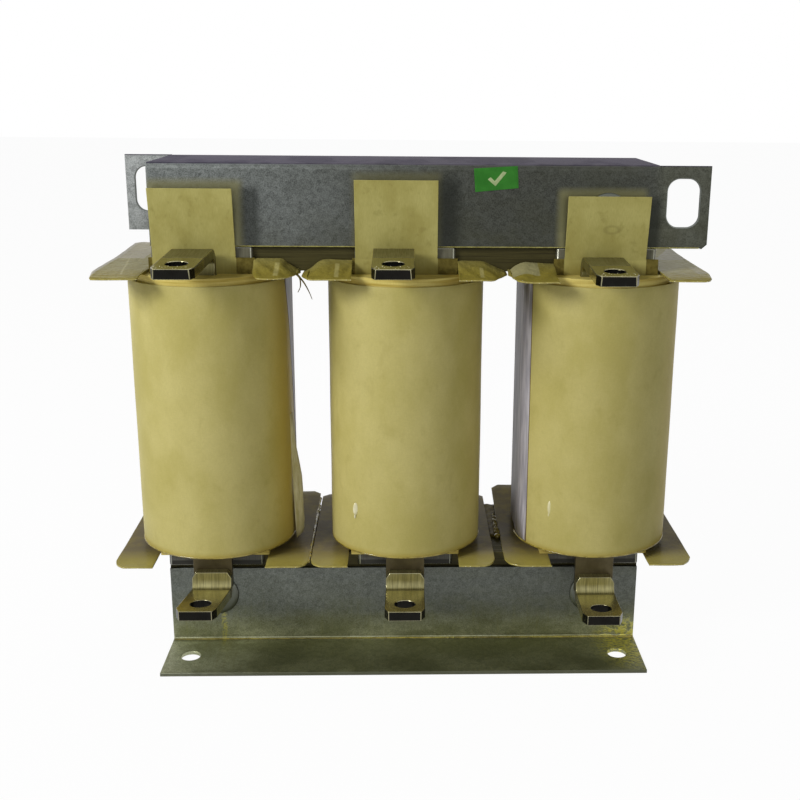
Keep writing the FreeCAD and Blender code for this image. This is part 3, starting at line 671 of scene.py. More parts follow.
FINISHES = {
    "clamp": clamp_finish(),
    "clamp_edge": bar_finish("galvanised_edge", (124, 128, 124), (92, 94, 84), 0.3, 0.4),
    "foot": foot_finish(),
    "wrap": wrap_finish(),
    "tab": tab_finish(),
    "top_wing": wing_finish("varnished_top_wing", True),
    "low_wing": wing_finish("varnished_low_wing", False),
    "wing_rim": drop_finish("varnished_wing_rim", (178, 166, 84), (150, 136, 58), 0.3),
    "liner": plain_sheet_finish("varnished_liner", (140, 132, 84), (110, 100, 56), (9, 9, 20), 0.4, 0.1),
    "side_sheet": side_sheet_finish(),
    "winding": plain_sheet_finish(
        "winding_margin", (222, 206, 122), (180, 156, 72), (30, 30, 1.2), 0.45, 0.05),
    "board": plain_sheet_finish("gap_board", (140, 128, 96), (104, 92, 60), 7, 0.5, 0.3),
    "packing": packing_finish(),
    # Painted highlight: the packing plates' rounded edges are lighter than their faces
    "packing_edge": bar_finish("packing_edge", (150, 152, 148), (104, 100, 70), 0.2, 0.35),
    "bar": bar_finish("tinned_bar", (158, 154, 108), (124, 117, 70), 0.16, 0.24, 0.5),
    # The lower bars are the same tinned copper as the upper ones, painted lighter as the light that falls on
    # them
    "low_bar": bar_finish(
        "tinned_low_bar", (206, 200, 146), (168, 159, 102), 0.18, 0.22, 0.72, LOW_BAR_DULL_LINE),
    "bar_edge": bar_finish("tinned_bar_edge", (164, 160, 130), (112, 105, 70), 0.14, 0.26),
    # Painted dark reflection and shade: the bars' end faces and hole walls are near black
    "bar_end": bar_finish("bar_end_painted_dark", (30, 29, 26), (16, 15, 12), 0.22, 0.4),
    "lead": bar_finish("lead_strip", (92, 84, 62), (58, 52, 36), 0.3, 0.5),
    "fastener": bar_finish("plated_fastener", (98, 101, 96), (88, 90, 76), 0.36, 0.48),
    "core": core_finish(),
    "sticker": plain_sheet_finish("green_sticker", (60, 132, 48), (50, 116, 40), 9, 0.45, 0.1),
    "tick": plain_sheet_finish("sticker_tick", (186, 200, 150), (160, 178, 124), 4, 0.5, 0.1),
    # Painted glints: drops coloured near white, on the wraps, the bars' ends and the wings' edges
    "gloss": drop_finish("varnish_drops_painted_glint", (236, 230, 190), (222, 214, 160), 0.08),
    "lip": drop_finish("varnish_lip", (168, 152, 70), (128, 112, 42), 0.2),
    "web": plain_sheet_finish("varnish_web", (104, 92, 40), (66, 56, 20), 2, 0.4, 0.0),
    # Painted light: the loose sheet is lighter than the side sheets, against the shade it stands in
    "loose_sheet": plain_sheet_finish(
        "loose_side_sheet", (226, 220, 184), (190, 180, 128), (3, 3, 14), 0.5, 0.05),
    "cut_line": plain_sheet_finish("soaked_cut_line", (112, 84, 28), (70, 48, 12), (3, 3, 8), 0.4, 0.1),
    "yellow_drop": drop_finish("yellow_varnish", (168, 162, 84), (140, 132, 60), 0.14),
}


# Mesh tools

def solid_copy(node):
    # The node's surface as one joined mesh, flat faces made whole
    bm = bmesh.new()
    bm.from_mesh(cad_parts[node].data)
    bmesh.ops.remove_doubles(bm, verts=bm.verts, dist=0.002 * MM)
    bmesh.ops.dissolve_limit(bm, angle_limit=0.01, verts=bm.verts, edges=bm.edges)
    return bm


def as_mesh(bm, name, sharp=30):
    mesh = bpy.data.meshes.new(name)
    bm.to_mesh(mesh)
    bm.free()
    mesh.shade_smooth()
    mesh.set_sharp_from_angle(angle=math.radians(sharp))
    return mesh


def added(name, data):
    # A new object in the scene
    thing = bpy.data.objects.new(name, data)
    bpy.context.scene.collection.objects.link(thing)
    return thing


def placed(mesh, name, finishes, nodes=()):
    # A piece that rides on the body, and stands for the nodes where any are given
    for finish in finishes:
        mesh.materials.append(FINISHES[finish])
    piece = added(name, mesh)
    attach(piece, "root")
    if nodes:
        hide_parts(*nodes)
    return piece


def made(bm, name, finishes, nodes=(), sharp=30):
    return placed(as_mesh(bm, name, sharp), name, finishes, nodes)


def broken_edges(piece, width, segments=2, finish=None):
    # Takes the sharpness off a piece's edges, in the piece's own finish or in that of its edges
    bevel = piece.modifiers.new("broken_edges", "BEVEL")
    bevel.width = width * MM
    bevel.segments = segments
    bevel.limit_method = "ANGLE"
    bevel.angle_limit = math.radians(30)
    bevel.use_clamp_overlap = True
    if finish is not None:
        bevel.material = finish
    return piece


def thickened(piece, thickness, rim=0):
    sheet = piece.modifiers.new("sheet", "SOLIDIFY")
    sheet.thickness = thickness * MM
    sheet.offset = 0
    sheet.material_offset_rim = rim
    return piece


def dressed(node, finishes, width):
    piece = made(solid_copy(node), node + "_dressed", finishes, [node])
    return broken_edges(piece, width, 2, len(finishes) - 1 or None)


def grid_sheet(rows, flipped=False):
    # Surface through rows of points
    bm = bmesh.new()
    grid = [[bm.verts.new(Vector(point) * MM) for point in row] for row in rows]
    for low, high in zip(grid, grid[1:]):
        for index in range(len(low) - 1):
            corners = (low[index], low[index + 1], high[index + 1], high[index])
            bm.faces.new(corners[::-1] if flipped else corners)
    return bm


def slab(outline, low, high, axis):
    # Flat piece between two places along an axis, 0 for X, 1 for Y and 2 for Z
    bm = bmesh.new()
    rings = []
    for place in (low, high):
        corners = [(*point[:axis], place, *point[axis:]) for point in outline]
        rings.append([bm.verts.new(Vector(corner) * MM) for corner in corners])
    bm.faces.new(rings[0])
    bm.faces.new(rings[1][::-1])
    for index in range(len(outline)):
        after = (index + 1) % len(outline)
        bm.faces.new((rings[0][after], rings[0][index], rings[1][index], rings[1][after]))
    bmesh.ops.recalc_face_normals(bm, faces=bm.faces)
    return bm


def turned(profile, steps):
    # Round shape about Z through pairs of radius and height, closed where the radius is 0
    bm = bmesh.new()
    rings = []
    for radius, height in profile:
        count = steps if radius else 1
        turns = [math.tau * step / steps for step in range(count)]
        ring = [Vector((radius * math.cos(turn), radius * math.sin(turn), height)) for turn in turns]
        rings.append([bm.verts.new(place * MM) for place in ring])
    for low, high in zip(rings, rings[1:]):
        for step in range(steps):
            after = (step + 1) % steps
            corners = [low[step % len(low)], low[after % len(low)]]
            corners += [high[after % len(high)], high[step % len(high)]]
            bm.faces.new(list(dict.fromkeys(corners)))
    bmesh.ops.recalc_face_normals(bm, faces=bm.faces)
    return bm


def smooth_line(points, steps):
    # Smooth curve through points of any number of values
    line = []
    for index in range(len(points) - 1):
        before = points[max(index - 1, 0)]
        start, end = points[index], points[index + 1]
        after = points[min(index + 2, len(points) - 1)]
        for step in range(steps):
            t = step / steps
            line.append([
                0.5 * (2 * b + (c - a) * t + (2 * a - 5 * b + 4 * c - d) * t**2
                       + (3 * b - a - 3 * c + d) * t**3)
                for a, b, c, d in zip(before, start, end, after)
            ])
    line.append(list(points[-1]))
    return line


def shares(steps):
    # From 0 to 1 in equal steps
    return [step / steps for step in range(steps + 1)]


def straight(start, end):
    return [Vector(start).lerp(Vector(end), share) for share in shares(20)]


def along_front(height, start, end, step, out):
    # Points along X at a height, before the core by a distance
    return [(x, -out, height) for x in range(start, end, step)]


# Copies of one shape at many points

def repeat_tree():
    tree = bpy.data.node_groups.new("repeat_on_points", "GeometryNodeTree")
    for label, kind in (("Points", "Geometry"), ("Shape", "Object"), ("Finish", "Material")):
        new_socket(tree, label, "INPUT", kind)
    new_socket(tree, "Pieces", "OUTPUT", "Geometry")
    start = tree.nodes.new("NodeGroupInput").outputs
    end = tree.nodes.new("NodeGroupOutput").inputs
    shape = tree.nodes.new("GeometryNodeObjectInfo")
    copies = tree.nodes.new("GeometryNodeInstanceOnPoints")
    whole = tree.nodes.new("GeometryNodeRealizeInstances")
    finish = tree.nodes.new("GeometryNodeSetMaterial")
    turn = tree.nodes.new("FunctionNodeEulerToRotation")
    for name, target in (("size", copies.inputs["Scale"]), ("turn", turn.inputs[0])):
        given = tree.nodes.new("GeometryNodeInputNamedAttribute")
        given.data_type = "FLOAT_VECTOR"
        given.inputs["Name"].default_value = name
        tree.links.new(given.outputs["Attribute"], target)
    for output, target in (
            (turn.outputs[0], copies.inputs["Rotation"]), (start["Points"], copies.inputs["Points"]),
            (start["Shape"], shape.inputs["Object"]), (shape.outputs["Geometry"], copies.inputs["Instance"]),
            (copies.outputs[0], whole.inputs[0]), (whole.outputs[0], finish.inputs["Geometry"]),
            (start["Finish"], finish.inputs["Material"]), (finish.outputs[0], end["Pieces"])):
        tree.links.new(output, target)
    return tree


REPEAT = repeat_tree()


def repeated(name, shape, spots, finish, nodes=()):
    # One piece with a copy of the shape at each spot, which is a place, a size and a turn in radians
    points = bpy.data.meshes.new(name + "_points")
    points.from_pydata([Vector(place) * MM for place, size, turn in spots], [], [])
    for label, column in (("size", 1), ("turn", 2)):
        values = points.attributes.new(label, "FLOAT_VECTOR", "POINT")
        for index, one in enumerate(spots):
            values.data[index].vector = one[column]
    pattern = added(name + "_shape", as_mesh(shape, name + "_shape"))
    holder = added(name + "_points", points)
    copies = holder.modifiers.new("copies", "NODES")
    copies.node_group = REPEAT
    keys = {item.name: item.identifier for item in REPEAT.interface.items_tree}
    copies[keys["Shape"]] = pattern
    copies[keys["Finish"]] = FINISHES[finish]
    whole = holder.evaluated_get(bpy.context.evaluated_depsgraph_get())
    mesh = bpy.data.meshes.new_from_object(whole)
    mesh.name = name
    mesh.materials.clear()
    for thing in (pattern, holder):
        bpy.data.objects.remove(thing)
    return placed(mesh, name, [finish], nodes)


def drop_shape(fineness=1):
    bm = bmesh.new()
    bmesh.ops.create_icosphere(bm, subdivisions=fineness, radius=MM)
    return bm


def beads(name, line, spacing, sizes, finish, seed, spread=0.15):
    # Varnish drops along a line of points, from small to large as the line goes
    rng = random.Random(seed)
    line = [Vector(point) for point in line]
    length = sum((end - start).length for start, end in zip(line, line[1:]))
    spots = []
    left = gone = 0.0
    for start, end in zip(line, line[1:]):
        span = (end - start).length
        while left < span:
            place = start.lerp(end, left / span)
            share = (gone + left) / length
            radius = (sizes[0] + (sizes[1] - sizes[0]) * share) * rng.uniform(0.6, 1.25)
            place += Vector([rng.uniform(-spread, spread) for axis in range(3)])
            size = [radius * rng.uniform(0.8, 1.3), radius, radius * rng.uniform(0.7, 1.0)]
            spots.append((place, size, (0, 0, rng.uniform(0, 3))))
            left += spacing * rng.uniform(0.5, 1.5)
        left -= span
        gone += span
    return repeated(name, drop_shape(), spots, finish)


def tube(name, line, radii, finish, steps=8):
    # Round cord of varnish or thread through a line of points
    rows = []
    turns = [math.tau * step / steps for step in range(steps + 1)]
    for index, point in enumerate(line):
        ahead = Vector(line[min(index + 1, len(line) - 1)]) - Vector(line[max(index - 1, 0)])
        across = ahead.cross(Vector(UP if abs(ahead.z) < 0.9 * ahead.length else RIGHT)).normalized()
        up = across.cross(ahead).normalized()
        radius = radii[0] + (radii[1] - radii[0]) * index / (len(line) - 1)
        ring = [radius * (math.cos(turn) * across + math.sin(turn) * up) for turn in turns]
        rows.append([Vector(point) + away for away in ring])
    bm = grid_sheet(rows)
    bmesh.ops.remove_doubles(bm, verts=bm.verts, dist=0.0001 * MM)
    bmesh.ops.holes_fill(bm, edges=[edge for edge in bm.edges if edge.is_boundary])
    bmesh.ops.recalc_face_normals(bm, faces=bm.faces)
    return made(bm, name, [finish], (), 50)


# Coils

def coil_path(along, radius):
    # Place on a coil's outline, its distance counted from the middle of the front
    quarter = radius * math.pi / 2
    if abs(along) <= quarter:
        turn = along / radius
        return radius * math.sin(turn), -COIL_HALF_FLAT - radius * math.cos(turn)
    return math.copysign(radius, along), -COIL_HALF_FLAT + abs(along) - quarter


def path_length(y, radius):
    # Distance from the middle of the front to where the coil's side crosses Y
    if y >= -COIL_HALF_FLAT:
        return radius * math.pi / 2 + y + COIL_HALF_FLAT
    return radius * math.acos((-COIL_HALF_FLAT - y) / radius)


def swollen(index, x):
    # X of an outer sheet, pushed out towards the sides of its coil
    local = x - LEG_PLACES[index]
    swell = SWELLS.get((PHASES[index], 1 if local > 0 else -1), 0.0)
    return x + math.copysign(swell * min(1.0, abs(local) / COIL_RADIUS) ** 2, local)


def swollen_sheet(index, node, finish):
    bm = solid_copy(node)
    for vert in bm.verts:
        vert.co.x = swollen(index, vert.co.x / MM) * MM
    return broken_edges(made(bm, node + "_dressed", [finish], [node]), 0.15)


def front_wrap(index):
    # Wrap a little uneven by hand, from one cut edge to the other, with a soaked line down each
    name = PHASES[index]
    middle = COIL_RADIUS - WRAP / 2
    rows = []
    for row in range(WRAP_ROWS + 1):
        share = row / WRAP_ROWS
        z = COIL_BOTTOM + (COIL_TOP - COIL_BOTTOM) * share
        left, right = (
            path_length(low + (high - low) * share, middle) for low, high in FRONT_WRAP_EDGES[index])
        points = []
        for column in range(WRAP_COLUMNS + 1):
            along = -left + (left + right) * column / WRAP_COLUMNS
            uneven = noise.noise(Vector((along / WAVE_LENGTHS[0], z / WAVE_LENGTHS[1], index * 7.0)))
            x, y = coil_path(along, middle + UNEVENNESS * uneven)
            points.append((swollen(index, x + LEG_PLACES[index]), y, z))
        rows.append(points)
    node = name + "_coil_front_wrap"
    piece = made(grid_sheet(rows), name + "_front_wrap", ["wrap"], [node], 60)
    thickened(piece, WRAP)
    for word, column in (("left", 0), ("right", -1)):
        line = [row[column] for row in rows]
        tube(f"{name}_{word}_cut_line", line, (0.5, 0.5), "cut_line")
    return broken_edges(piece, 0.2)


def wing(index, side, stations, level, rear_rise):
    # Wing of a side liner through its stations, from its front edge to its crest at the yoke's face
    # and on to its rear end
    flat = WING_HIGH if level == "top" else WING_LOW
    seed = index * 3.0 + side + (10 if level == "top" else 0)
    outer = stations[-1][0]
    front_rows, rear_rows = 12, 14
    columns = smooth_line(stations, 5)
    rows = []
    for row in range(front_rows + rear_rows + 1):
        points = []
        for u, front, low, crest in columns:
            fan = crest - flat > LEAST_FAN
            if row <= front_rows:
                t = row / front_rows
                y = front + (CREST_PLACE - front) * t
                z = low + (crest - low) * (t ** FAN_POWER if fan else 1 - (1 - t) ** FLAT_POWER)
                if fan:
                    turn = math.atan2(y - FAN_CENTRE[1], u - FAN_CENTRE[0])
                    wave = FAN_WAVE * math.sin(FAN_WAVES * turn + seed) * math.sin(math.pi * t)
                    z += wave * min(1, (crest - flat) / FULL_FAN)
            else:
                rear = WING_REAR - max(0.0, u - outer + WING_REAR_CUT)
                y = CREST_PLACE + (rear - CREST_PLACE) * (row - front_rows) / rear_rows
                z = (flat if fan else crest) + rear_rise * max(0.0, y / WING_REAR) ** 1.5
            z += WING_UNEVENNESS * noise.noise(Vector((u / WING_WAVE_LENGTH, y / WING_WAVE_LENGTH, seed)))
            points.append((LEG_PLACES[index] + side * u, y, z))
        rows.append(points)
    name = f"{PHASES[index]}_{SIDES[side]}_{level}_wing"
    piece = made(grid_sheet(rows, side < 0), name, [level + "_wing", "wing_rim"], (), 60)
    return broken_edges(thickened(piece, LINER, 1), 0.15)


def side_liner(index, side):
    x0, x1 = sorted(LEG_PLACES[index] + side * u for u in (SIDE_LINER_FACE, SIDE_LINER_FACE + LINER))
    depth = SIDE_LINER_HALF_DEPTH
    outline = ((x0, -depth), (x1, -depth), (x1, depth), (x0, depth))
    name = f"{PHASES[index]}_coil_{SIDES[side]}_liner"
    wall = made(slab(outline, WING_LOW, WING_HIGH, 2), name + "_wall", ["liner"], [name])
    broken_edges(wall, 0.15)
    key = (PHASES[index], side)
    wing(index, side, TOP_WINGS[key], "top", TOP_REAR_RISES.get(key, 0.0))
    wing(index, side, LOW_WINGS[key], "low", LOW_REAR_RISES.get(key, 0.0))


def terminal(node, low):
    # Bar with bright broken edges, longer cuts at its corners, and its end face and hole walls painted
    # near black as dark reflection and shade. The lower ones dip at the bend, and the upper ones have
    # drops of varnish on their ends, coloured pale as painted glints.
    bm = solid_copy(node)
    top = max(vert.co.z for vert in bm.verts) / MM
    tip = min(vert.co.y for vert in bm.verts) / MM
    end = [vert.co / MM for vert in bm.verts if vert.co.y / MM < tip + BAR_END_POINTS]
    middle = sum(corner.x for corner in end) / len(end)
    # The end face and the hole's walls take the finish painted near black
    for face in bm.faces:
        x, y, z = face.calc_center_median() / MM
        near_hole = max(abs(x - middle), abs(y - tip - BAR_HOLE_PLACE)) < BAR_HOLE_REACH
        ahead = y < tip + BAR_END_DEPTH and face.normal.y < -0.5
        face.material_index = 2 if ahead or near_hole and abs(face.normal.z) < 0.5 else 0
    for vert in bm.verts:
        x, y, z = vert.co / MM
        if BAR_CORNERS[0] < y - tip < BAR_CORNERS[1] and abs(x - middle) > BAR_CORNERS_ACROSS:
            vert.co.y += BAR_LONGER_CUT * MM
        if low:
            share = min(1.0, max(0.0, (y - tip) / (LOW_BAR_FRONT - tip)))
            fade = min(1.0, max(0.0, (top - z) / LOW_BAR_UPSTAND))
            vert.co.z -= LOW_BAR_SAG * share * fade * MM
    if not low:
        height = min(corner.z for corner in end) + 0.9
        line = [(middle + place, tip - 0.05, height) for place in (-8.5, 0.0, 8.5)]
        beads(node + "_tip_drops", line, 1.3, (0.2, 0.2), "gloss", 40, 0.5)
    finishes = ["low_bar" if low else "bar", "bar_edge", "bar_end"]
    return broken_edges(made(bm, node + "_dressed", finishes, [node]), 0.3, 2, 1)


def coil(index):
    name = PHASES[index] + "_coil_"
    front_wrap(index)
    swollen_sheet(index, name + "rear_wrap", "wrap")
    swollen_sheet(index, name + "side_sheets", "side_sheet")
    for part, finish, slot, width in (
            ("winding", "winding", "winding_foil", 0.4), ("front_liner", "tab", "liner_sheet", 0.15),
            ("rear_liner", "liner", "liner_sheet", 0.15), ("bottom_lead", "lead", "terminal_bar", 0.3)):
        dressed(name + part, [finish], width)
    for side in SIDES:
        side_liner(index, side)
    terminal(name + "top_terminal", False)
    terminal(name + "bottom_terminal", True)


# Clamps, bolts and core

def top_channel():
    # The rear ear's lower corner is sharp, the front one's is cut straight, and the slots have
    # bright rounded rims
    bm = solid_copy("top_clamp_channel")
    for vert in bm.verts:
        x, z = vert.co.x / MM, vert.co.z / MM
        if z > CLAMP_LOW_EDGE + EAR_CORNER or abs(x) < EAR_END - EAR_CORNER:
            continue
        if x < 0:
            back, up = 0.0, 0.0
        else:
            back, up = EAR_CUT_HIGH if x > EAR_END - EAR_CORNER * 0.3 else EAR_CUT_LOW
        vert.co.x, vert.co.z = math.copysign(EAR_END - back, x) * MM, (CLAMP_LOW_EDGE + up) * MM
    bmesh.ops.remove_doubles(bm, verts=bm.verts, dist=0.01 * MM)
    bmesh.ops.dissolve_degenerate(bm, edges=bm.edges, dist=0.001 * MM)
    rims = []
    for edge in bm.edges:
        corners = [vert.co / MM for vert in edge.verts]
        in_slot = all(
            EAR_SLOT_X[0] < abs(corner.x) < EAR_SLOT_X[1] and EAR_SLOT_Z[0] < corner.z < EAR_SLOT_Z[1]
            for corner in corners)
        slants = sorted(abs(face.normal.y) for face in edge.link_faces)
        if in_slot and slants[0] < 0.1 and slants[-1] > 0.99:
            rims.append(edge)
    bmesh.ops.bevel(bm, geom=rims, offset=0.5 * MM, segments=2, affect="EDGES", material=1)
    piece = made(bm, "top_channel", ["clamp", "clamp_edge"], ["top_clamp_channel"])
    return broken_edges(piece, 0.4, 2, 1)


def clamps():
    top_channel()
    dressed("front_foot_bracket", ["foot"], 0.25)
    dressed("rear_foot_bracket", ["foot"], 0.25)


def bolts():
    # Low domed heads in front, and threaded ends that stand out of the nuts behind
    profile = [*HEAD_PROFILE, (SHANK_RADIUS, 0.0)]
    for turn in range(THREAD_TURNS):
        height = THREAD_LENGTH - BOLT_LENGTH - THREAD_PITCH * turn
        profile += [(SHANK_RADIUS, height), (THREAD_ROOT, height - THREAD_PITCH * 0.48)]
    profile += [(3.2, -BOLT_LENGTH), (0, -BOLT_LENGTH)]
    spots = [((x, -face, z), (1, 1, 1), (math.pi / 2, 0, 0)) for x, z, face in BOLT_SPOTS]
    repeated("clamp_bolt_set", turned(profile, 48), spots, "fastener", ["clamp_bolts"])
    turns = [math.tau * corner / 6 for corner in range(6)]
    corners = [(NUT_REACH * math.cos(turn), NUT_REACH * math.sin(turn)) for turn in turns]
    nut = slab(corners, 0.0, NUT_HEIGHT, 2)
    bmesh.ops.bevel(nut, geom=nut.edges, offset=0.5 * MM, segments=2, affect="EDGES")
    spots = [((x, face, z), (1, 1, 1), (-math.pi / 2, 0, 0.2 * place))
             for place, (x, z, face) in enumerate(BOLT_SPOTS)]
    repeated("clamp_nut_set", nut, spots, "fastener", ["clamp_nuts"])


def sheet_stack(name, outline, seed, node):
    # One sheet after the other through the stack, each a hair off its neighbours
    rng = random.Random(seed)
    count = round(2 * HALF_STACK / SHEET_PITCH)
    spots = []
    for index in range(count):
        off = 0 if index in (0, count - 1) else 0.12
        place = (rng.uniform(-off, off), -HALF_STACK + SHEET_PITCH * index, rng.uniform(-off, off))
        spots.append((place, (1, 1, 1), (0, 0, 0)))
    repeated(name, slab(outline, 0.0, SHEET_PITCH, 1), spots, "core", [node])


def core():
    inner = LEG_PITCH - LEG_HALF_WIDTH
    right = [(inner, LEG_TOP), (inner, LOW_YOKE_TOP), (LEG_HALF_WIDTH, LOW_YOKE_TOP),
             (LEG_HALF_WIDTH, LEG_TOP)]
    left = [(-x, z) for x, z in right[::-1]]
    lower = [(-HALF_LENGTH, CORE_LOW), (HALF_LENGTH, CORE_LOW), (HALF_LENGTH, LEG_TOP), *right, *left,
             (-HALF_LENGTH, LEG_TOP)]
    upper = [(-HALF_LENGTH, TOP_YOKE_LOW), (HALF_LENGTH, TOP_YOKE_LOW), (HALF_LENGTH, TOP_YOKE_TOP),
             (-HALF_LENGTH, TOP_YOKE_TOP)]
    sheet_stack("lower_core_sheets", lower, 3, "lower_core_stack")
    sheet_stack("upper_core_sheets", upper, 4, "upper_yoke_stack")
    for name in PHASES:
        dressed(name + "_gap_spacer", ["board"], 0.1)
        for side in ("front", "rear"):
            dressed(f"{name}_{side}_packing_plate", ["packing", "packing_edge"], 0.35)


# Sticker and varnish

def sticker():
    def at(across, up, y):
        low = Vector(STICKER[0]).lerp(Vector(STICKER[1]), across)
        high = Vector(STICKER[2]).lerp(Vector(STICKER[3]), across)
        x, z = low.lerp(high, up)
        return x, y, z

    rows = [[at(across, up, -CLAMP_FACE - 0.12) for across in shares(14)] for up in shares(8)]
    label = made(grid_sheet(rows), "inspection_sticker", ["sticker"])
    broken_edges(thickened(label, 0.15), 0.05)
    outline = [at(across, up, 0)[::2] for across, up in TICK]
    mark = slab(outline, -CLAMP_FACE - 0.24, -CLAMP_FACE - 0.19, 1)
    broken_edges(made(mark, "sticker_tick", ["tick"]), 0.02)


def clamp_varnish():
    # Drops and lines along the clamp's lower edge and the foot's fold
    edge = along_front(CLAMP_LOW_EDGE + 0.1, -125, 147, 4, CLAMP_FACE - 0.1)
    beads("clamp_edge_drops", edge, 0.95, (0.28, 0.42), "yellow_drop", 5, 0.1)
    line = [(x, -CLAMP_FACE + 0.05, CLAMP_LOW_EDGE + 0.05) for x in (-124.5, 0, 124.5, 146.0)]
    tube("clamp_edge_line", line, (0.28, 0.34), "yellow_drop")
    line = [(x, -FOOT_FACE - 1.3, FOOT_SHEET + 0.1) for x in (-124.5, 0, 124.5)]
    tube("foot_fold_line", line, (0.3, 0.7), "lip")
    fold = along_front(FOOT_SHEET + 0.35, -124, 125, 4, FOOT_FACE + 1.6)
    beads("foot_fold_drops", fold, 0.8, (0.25, 0.6), "yellow_drop", 6, 0.2)


def coil_varnish():
    # Lip and drops round each coil's foot, and drops on the wings' edges
    for index, phase in enumerate(PHASES):
        arc = []
        radius = COIL_RADIUS - 0.15
        for turn in (math.radians(angle) for angle in range(-88, 89, 2)):
            x = swollen(index, LEG_PLACES[index] + radius * math.sin(turn))
            arc.append((x, -COIL_HALF_FLAT - radius * math.cos(turn), COIL_BOTTOM + 0.3))
        name = phase + "_coil_foot_"
        tube(name + "rim", arc, (0.4, 0.4), "lip")
        beads(name + "drops", arc[8:-8], 1.8, (0.35, 0.35), "yellow_drop", 20 + index)
    for word, wings in (("low", LOW_WINGS), ("top", TOP_WINGS)):
        for (phase, side), stations in wings.items():
            x0 = LEG_PLACES[PHASES.index(phase)]
            edge = [(x0 + side * u, front - 0.1, low - 0.1) for u, front, low, crest in stations[:-1]]
            name = f"{phase}_{SIDES[side]}_{word}_wing_drops"
            # The drops on the wings' edges are coloured pale as painted glints
            beads(name, edge, 4.0, (0.22, 0.3), "gloss", len(name), 0.12)


def seam_varnish():
    # What joins the wings of neighbouring coils, with the sheet and strands that hang there
    seam = straight(*LEFT_SEAM)
    tube("left_seam_rim", seam, (0.5, 0.7), "lip")
    beads("left_seam_drops", seam, 1.6, (0.6, 1.1), "lip", 31, 0.3)
    # Runs of varnish on the wraps, coloured pale as painted glints
    runs = [(place, size, (0, 0, 0)) for place, size in COIL_RUNS]
    repeated("coil_varnish_runs", drop_shape(2), runs, "gloss")
    fixed, free = LOOSE_SHEET_PLACES
    rows = []
    for z, inner, outer, slope in LOOSE_SHEET:
        rows.append([
            (inner + (outer - inner) * math.sin(0.5 * math.pi * t), fixed + (free - fixed) * t, z - slope * t)
            for t in shares(8)])
    thickened(made(grid_sheet(rows), "left_loose_sheet", ["loose_sheet"], (), 60), 0.25)
    for word, end_radius, points in STRANDS:
        line = smooth_line(points, 6)
        tube(word + "_varnish_strand", line, (STRAND_RADIUS, end_radius), "web")
    (x0, y0), (x1, y1) = SEAM_WEB
    rows = []
    for row, back in enumerate(shares(20)):
        rows.append([
            (x0 + (x1 - x0) * across, y0 + (y1 - y0) * back,
             SEAM_WEB_HEIGHT + SEAM_WEB_WAVE * math.sin(1.7 * row + column))
            for column, across in enumerate(shares(6))])
    thickened(made(grid_sheet(rows), "right_seam_web", ["web"], (), 60), 0.6)
    beads("right_seam_drops", straight(*RIGHT_SEAM), 0.8, (1.5, 0.8), "lip", 32, 0.4)


# Studio

def white_for_the_eye(tree):
    # 1 for rays that see a background: straight, mirrored or through glass
    rays = put(tree, "LightPath").outputs
    seen = sums("MAXIMUM", rays["Is Camera Ray"], rays["Is Glossy Ray"])
    return sums("MAXIMUM", seen, rays["Is Transmission Ray"])


def seen_as(tree, output, share, first, second):
    # One shader for the light and another for the eye, by a share
    both = put(tree, "MixShader", {0: share, 1: first, 2: second}).outputs[0]
    put(tree, output, {"Surface": both})


def emptied(owner):
    # The owner's tree of nodes, with nothing in it
    owner.use_nodes = True
    owner.node_tree.nodes.clear()
    return owner.node_tree


def studio_floor():
    bm = bmesh.new()
    bmesh.ops.create_grid(bm, x_segments=1, y_segments=1, size=6.0)
    mesh = as_mesh(bm, "studio_floor")
    material = bpy.data.materials.new("pale_floor")
    tree = emptied(material)
    paper = put(tree, "BsdfDiffuse", {"Color": (0.9, 0.9, 0.9, 1)}).outputs[0]
    glow = put(tree, "Emission", {"Color": (1, 1, 1, 1), "Strength": 1.0}).outputs[0]
    seen_as(tree, "OutputMaterial", product(white_for_the_eye(tree), 0.965), paper, glow)
    mesh.materials.append(material)
    added("studio_floor", mesh)


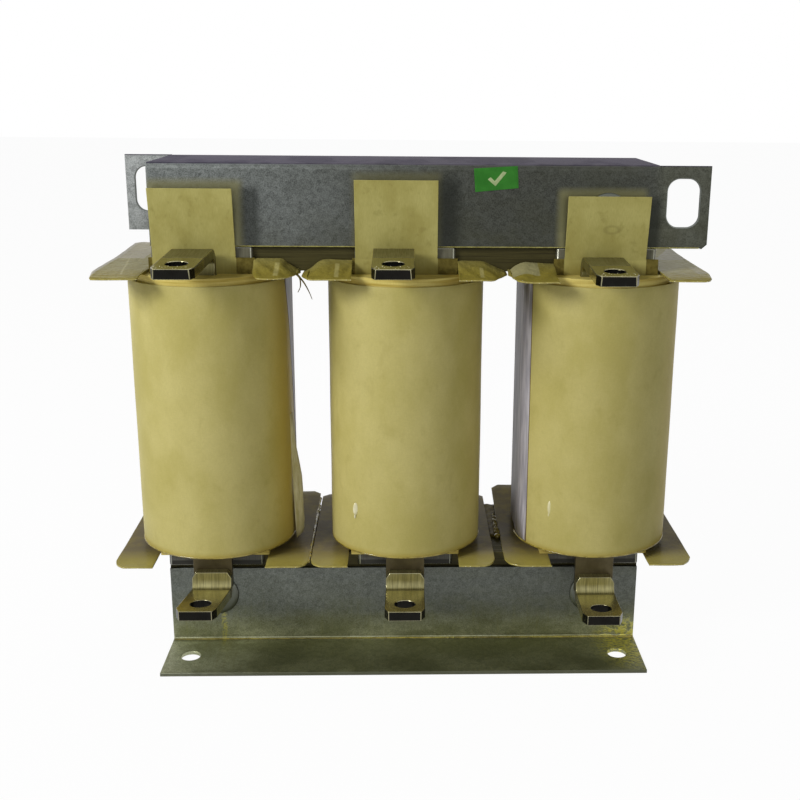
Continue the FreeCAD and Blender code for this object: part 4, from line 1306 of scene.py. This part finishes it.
def studio_world():
    world = bpy.data.worlds.new("studio")
    bpy.context.scene.world = world
    tree = emptied(world)
    room = put(tree, "Background", {"Color": (0.92, 0.96, 1.0, 1), "Strength": 0.14}).outputs[0]
    white = put(tree, "Background", {"Color": (1, 1, 1, 1), "Strength": 1.0}).outputs[0]
    seen_as(tree, "OutputWorld", white_for_the_eye(tree), room, white)


def lamp(name, place, size, power):
    # Soft square lamp that faces the middle of the object, its place and size in metres
    light = bpy.data.lights.new(name, "AREA")
    light.size = size
    light.energy = power
    holder = added(name, light)
    holder.location = place
    holder.rotation_euler = (Vector(LIT_PLACE) - Vector(place)).to_track_quat("-Z", "Y").to_euler()


def photo_camera():
    # The photograph's view: turn, tilt and roll in degrees, and focal length in picture points
    yaw, pitch, roll = (math.radians(angle) for angle in (1.92, 16.09, 0.52))
    focal, across, down, frame_size = 1144.6, 440.0, 416.4, 800
    place = Vector((-1.0, -600.3, 290.7)) * MM
    tilt = Matrix.Rotation(roll, 3, "Z") @ Matrix.Rotation(pitch, 3, "X")
    view = tilt @ Matrix((RIGHT, DOWN, REAR)) @ Matrix.Rotation(yaw, 3, "Z")
    lens = bpy.data.cameras.new("photo_camera")
    lens.sensor_width = 36.0
    lens.lens = focal * lens.sensor_width / frame_size
    lens.shift_x = (frame_size / 2 - across) / frame_size
    lens.shift_y = (down - frame_size / 2) / frame_size
    lens.clip_start = 0.01
    lens.clip_end = 20.0
    camera = added("photo_camera", lens)
    axes = Matrix((view[0], -view[1], -view[2])).transposed().to_4x4()
    camera.matrix_world = Matrix.Translation(place) @ axes
    bpy.context.scene.camera = camera


bpy.context.scene.view_settings.view_transform = "Standard"
photo_camera()
studio_world()
studio_floor()
lamp("key_from_left", (-1.15, -0.8, 0.9), 0.5, 17)
lamp("fill_from_right", (0.9, -1.4, 0.7), 1.0, 3)
lamp("top_light", (0.1, 0.5, 1.5), 1.0, 4)
clamps()
bolts()
core()
for index in range(len(PHASES)):
    coil(index)
sticker()
clamp_varnish()
coil_varnish()
seam_varnish()
